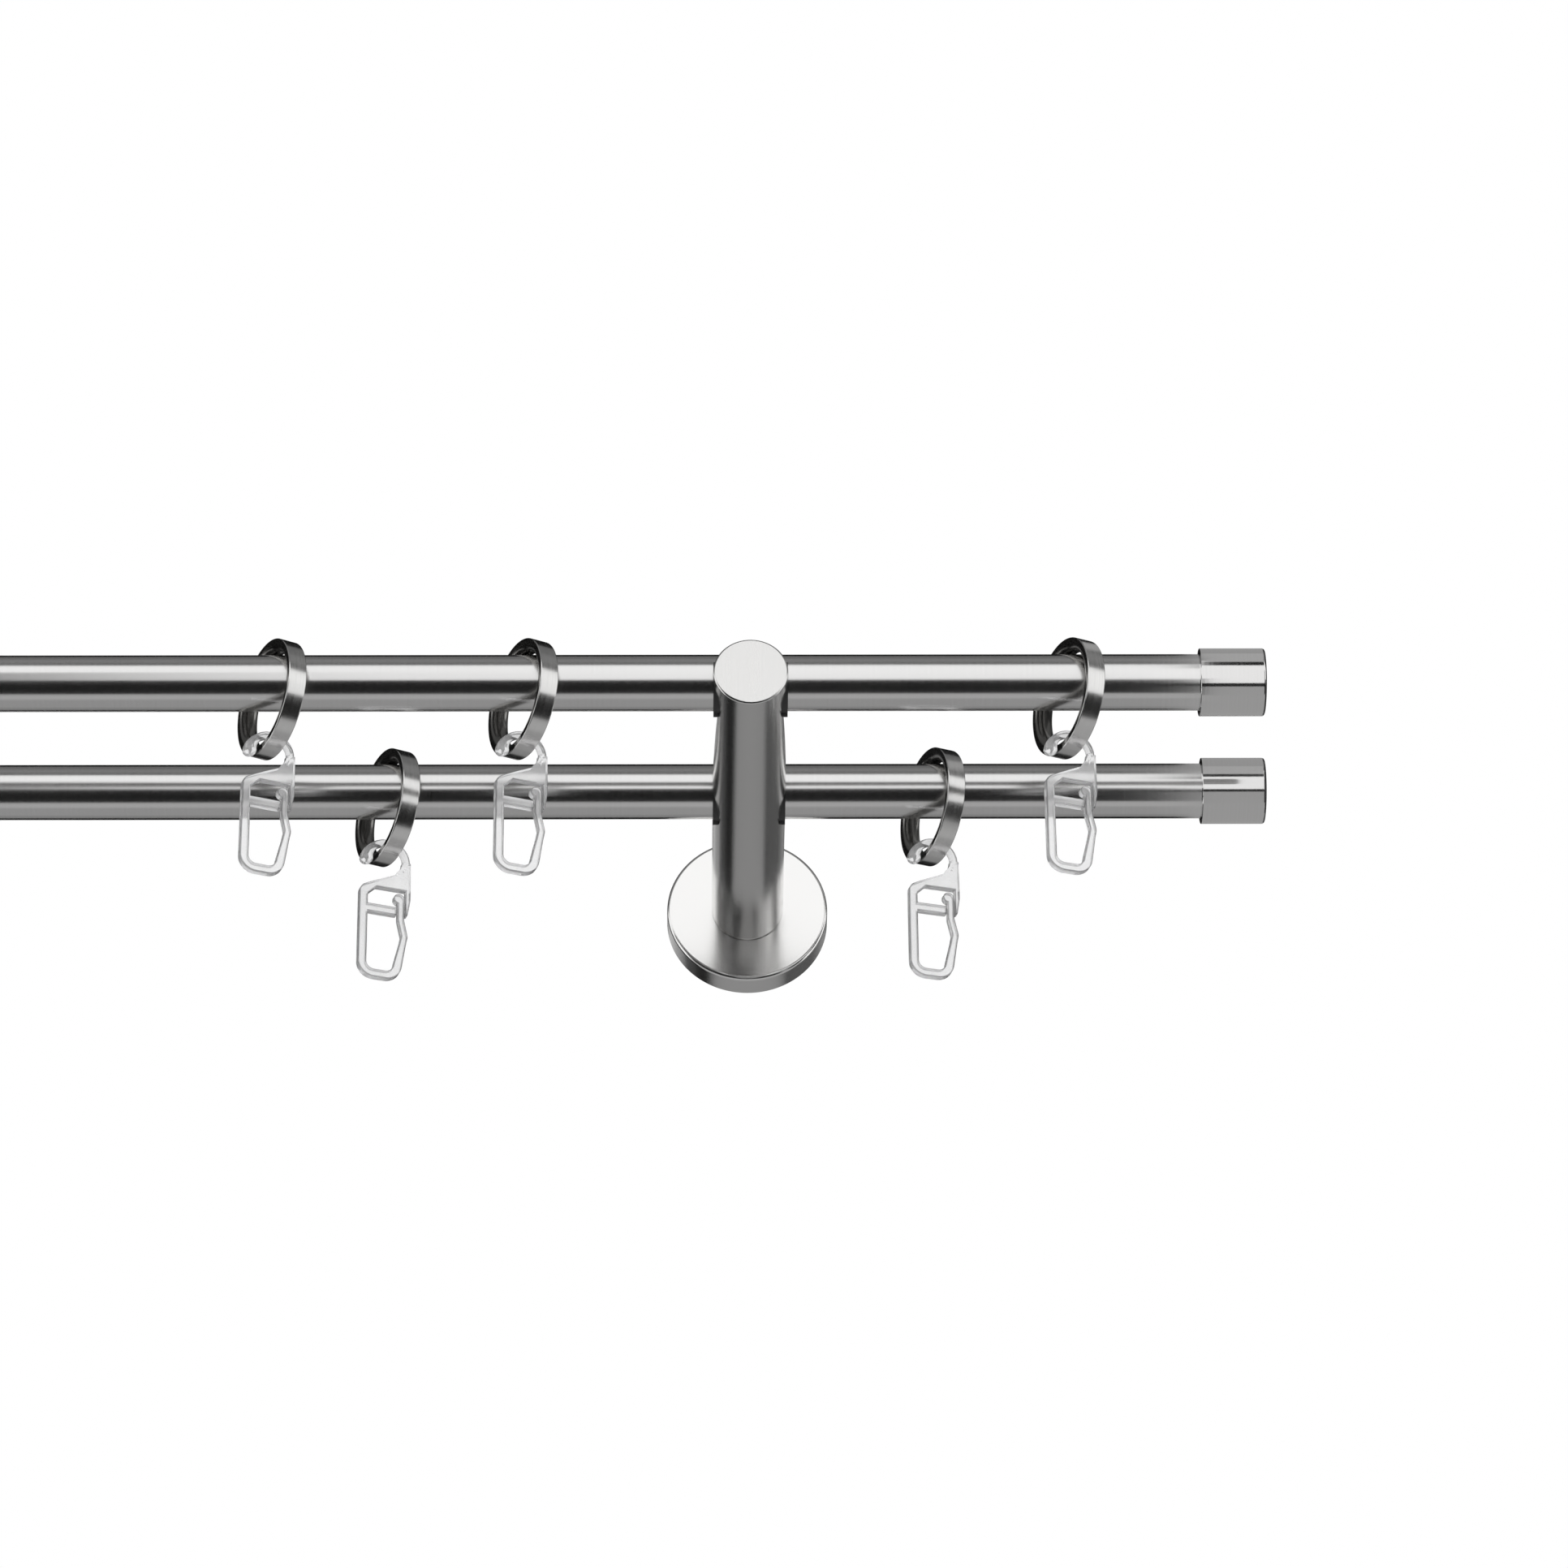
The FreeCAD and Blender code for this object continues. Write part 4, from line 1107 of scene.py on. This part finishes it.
class SetStage(bpy.types.Operator):
    """Make the camera, the light and the floor"""

    bl_idname = "curtain_pole.stage"
    bl_label = "Stage"

    def execute(self, context):
        studio = context.scene.curtain_studio
        self.light_sky(context.scene, studio)
        middle = Vector((0, (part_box("front_pole")[0].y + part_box("rear_pole")[1].y) / 2, 0))
        for name, (first, last, strength) in POLE_CARDS.items():
            bent_card(name, middle, (-CARD_REACH, CARD_REACH), CARD_RADIUS, first, last, strength)
        for name, (first, last, low, high, strength) in SIDE_CARDS.items():
            side_card(name, SIDE_DISTANCE, first, last, low, high, strength)
        self.set_foot_cards()
        self.set_cap_cards(studio.camera_rise)
        self.hang_key(context.scene, studio)
        self.lay_floor(context.scene, studio)
        self.set_camera(context.scene, studio)
        context.scene.view_settings.view_transform = "Standard"
        return {"FINISHED"}

    def set_foot_cards(self):
        for node in nodes_named("rosette_"):
            middle, face = centre_of(node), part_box(node)[0].y
            y, half = face - FOOT_CARD["away"], FOOT_CARD["half_width"]
            rows = [
                [Vector((middle.x + side * half, y, middle.z + FOOT_CARD[rim])) for side in (-1, 1)]
                for rim in ("bottom", "top")
            ]
            card(node + "_foot_card", rows, FOOT_CARD["level"])

    def set_cap_cards(self, rise):
        low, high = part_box("front_cap_right")
        ends = (low.x + CAP_CARD_START, high.x + CAP_CARD_REACH)
        between = (centre_of("front_cap_right") + centre_of("rear_cap_right")) / 2
        for name, (*mirrored, strength) in CAP_CARDS.items():
            first, last = (near_angle(direction, (high.z - low.z) / 2, rise) for direction in mirrored)
            bent_card(name, between, ends, CAP_CARD_RADIUS, first, last, strength)
        reach = (-CAP_FLAG["half_width"], CAP_FLAG["half_width"])
        rows = [[Vector((ends[1], between.y + y, between.z + z)) for y in reach] for z in reach]
        card("cap_flag_beyond", rows, CAP_FLAG["level"])

    def light_sky(self, scene, studio):
        """White where it is seen or mirrored, and a plain level elsewhere."""
        world = bpy.data.worlds.new("studio")
        world.use_nodes = True
        scene.world = world
        graph = Graph(world.node_tree)
        graph.tree.nodes.clear()
        ray = graph.node("ShaderNodeLightPath").socket.node
        seen = Wire(graph, ray.outputs["Is Camera Ray"]).most(Wire(graph, ray.outputs["Is Glossy Ray"]))
        seen = seen.most(Wire(graph, ray.outputs["Is Transmission Ray"]))
        strength = seen + (1 - seen) * studio.sky
        sky = graph.node("ShaderNodeBackground", inputs={"Color": (1, 1, 1, 1), "Strength": strength})
        end = graph.tree.nodes.new("ShaderNodeOutputWorld")
        graph.tree.links.new(sky.socket, end.inputs["Surface"])

    def hang_key(self, scene, studio):
        lamp = bpy.data.lights.new("key_lamp", "AREA")
        lamp.energy = studio.key
        lamp.size = studio.key_size
        key = bpy.data.objects.new("key_lamp", lamp)
        key.location = studio.key_place
        key.rotation_euler = (-key.location).to_track_quat("-Z", "Y").to_euler()
        key.visible_glossy = False
        key.visible_transmission = False
        scene.collection.objects.link(key)

    def lay_floor(self, scene, studio):
        half = studio.floor_side / 2
        shape = bmesh.new()
        corners = [(-half, -half), (half, -half), (half, half), (-half, half)]
        shape.faces.new([shape.verts.new((x, y, -studio.floor_drop)) for x, y in corners])
        floor = piece_of("floor", shape)
        material = bpy.data.materials.new("floor")
        material.use_nodes = True
        shader = material.node_tree.nodes["Principled BSDF"]
        shader.inputs["Base Color"].default_value = tone(studio.floor_colour)
        shader.inputs["Roughness"].default_value = studio.floor_roughness
        give_material(floor, material)

    def set_camera(self, scene, studio):
        yaw, rise, roll = studio.camera_yaw, studio.camera_rise, studio.camera_roll
        ahead = Vector((math.sin(yaw) * math.cos(rise), math.cos(yaw) * math.cos(rise), math.sin(rise)))
        level_right = Vector((math.cos(yaw), -math.sin(yaw), 0))
        level_up = level_right.cross(ahead)
        right = math.cos(roll) * level_right + math.sin(roll) * level_up
        up = math.cos(roll) * level_up - math.sin(roll) * level_right
        camera = bpy.data.objects.new("camera", bpy.data.cameras.new("camera"))
        camera.data.lens = studio.lens
        camera.data.sensor_width = FILM_WIDTH
        camera.data.clip_end = SIGHT
        turned_to = Matrix((right, up, -ahead)).transposed().to_4x4()
        camera.matrix_world = Matrix.Translation(Vector(studio.camera_place)) @ turned_to
        scene.collection.objects.link(camera)
        scene.camera = camera


MAKERS = (
    DressPoles, DressCaps, DressArms, DressLiners, DressRosettes, DressWallPlates, DressGrubScrews, DressRings,
    DressHooks, SetStage,
)


class CurtainPolePanel(bpy.types.Panel):
    """Lists the makers of the pieces and of the stage"""

    bl_idname = "VIEW3D_PT_curtain_pole"
    bl_label = "Double Curtain Pole"
    bl_space_type = "VIEW_3D"
    bl_region_type = "UI"
    bl_category = "Curtain Pole"

    def draw(self, context):
        for maker in MAKERS:
            self.layout.operator(maker.bl_idname)


GROUPS = {
    "curtain_sizes": CurtainPoleSizes,
    "curtain_colours": CurtainPoleColours,
    "curtain_studio": CurtainPoleStudio,
}


def register():
    for name, group in GROUPS.items():
        bpy.utils.register_class(group)
        setattr(bpy.types.Scene, name, PointerProperty(type=group))
    for maker in MAKERS:
        bpy.utils.register_class(maker)
    bpy.utils.register_class(CurtainPolePanel)


def unregister():
    bpy.utils.unregister_class(CurtainPolePanel)
    for maker in reversed(MAKERS):
        bpy.utils.unregister_class(maker)
    for name, group in GROUPS.items():
        delattr(bpy.types.Scene, name)
        bpy.utils.unregister_class(group)


def main():
    register()
    bpy.ops.curtain_pole.poles()
    bpy.ops.curtain_pole.caps()
    bpy.ops.curtain_pole.arms()
    bpy.ops.curtain_pole.liners()
    bpy.ops.curtain_pole.rosettes()
    bpy.ops.curtain_pole.wall_plates()
    bpy.ops.curtain_pole.grub_screws()
    bpy.ops.curtain_pole.rings()
    bpy.ops.curtain_pole.hooks()
    bpy.ops.curtain_pole.stage()


if __name__ == "__main__":
    main()
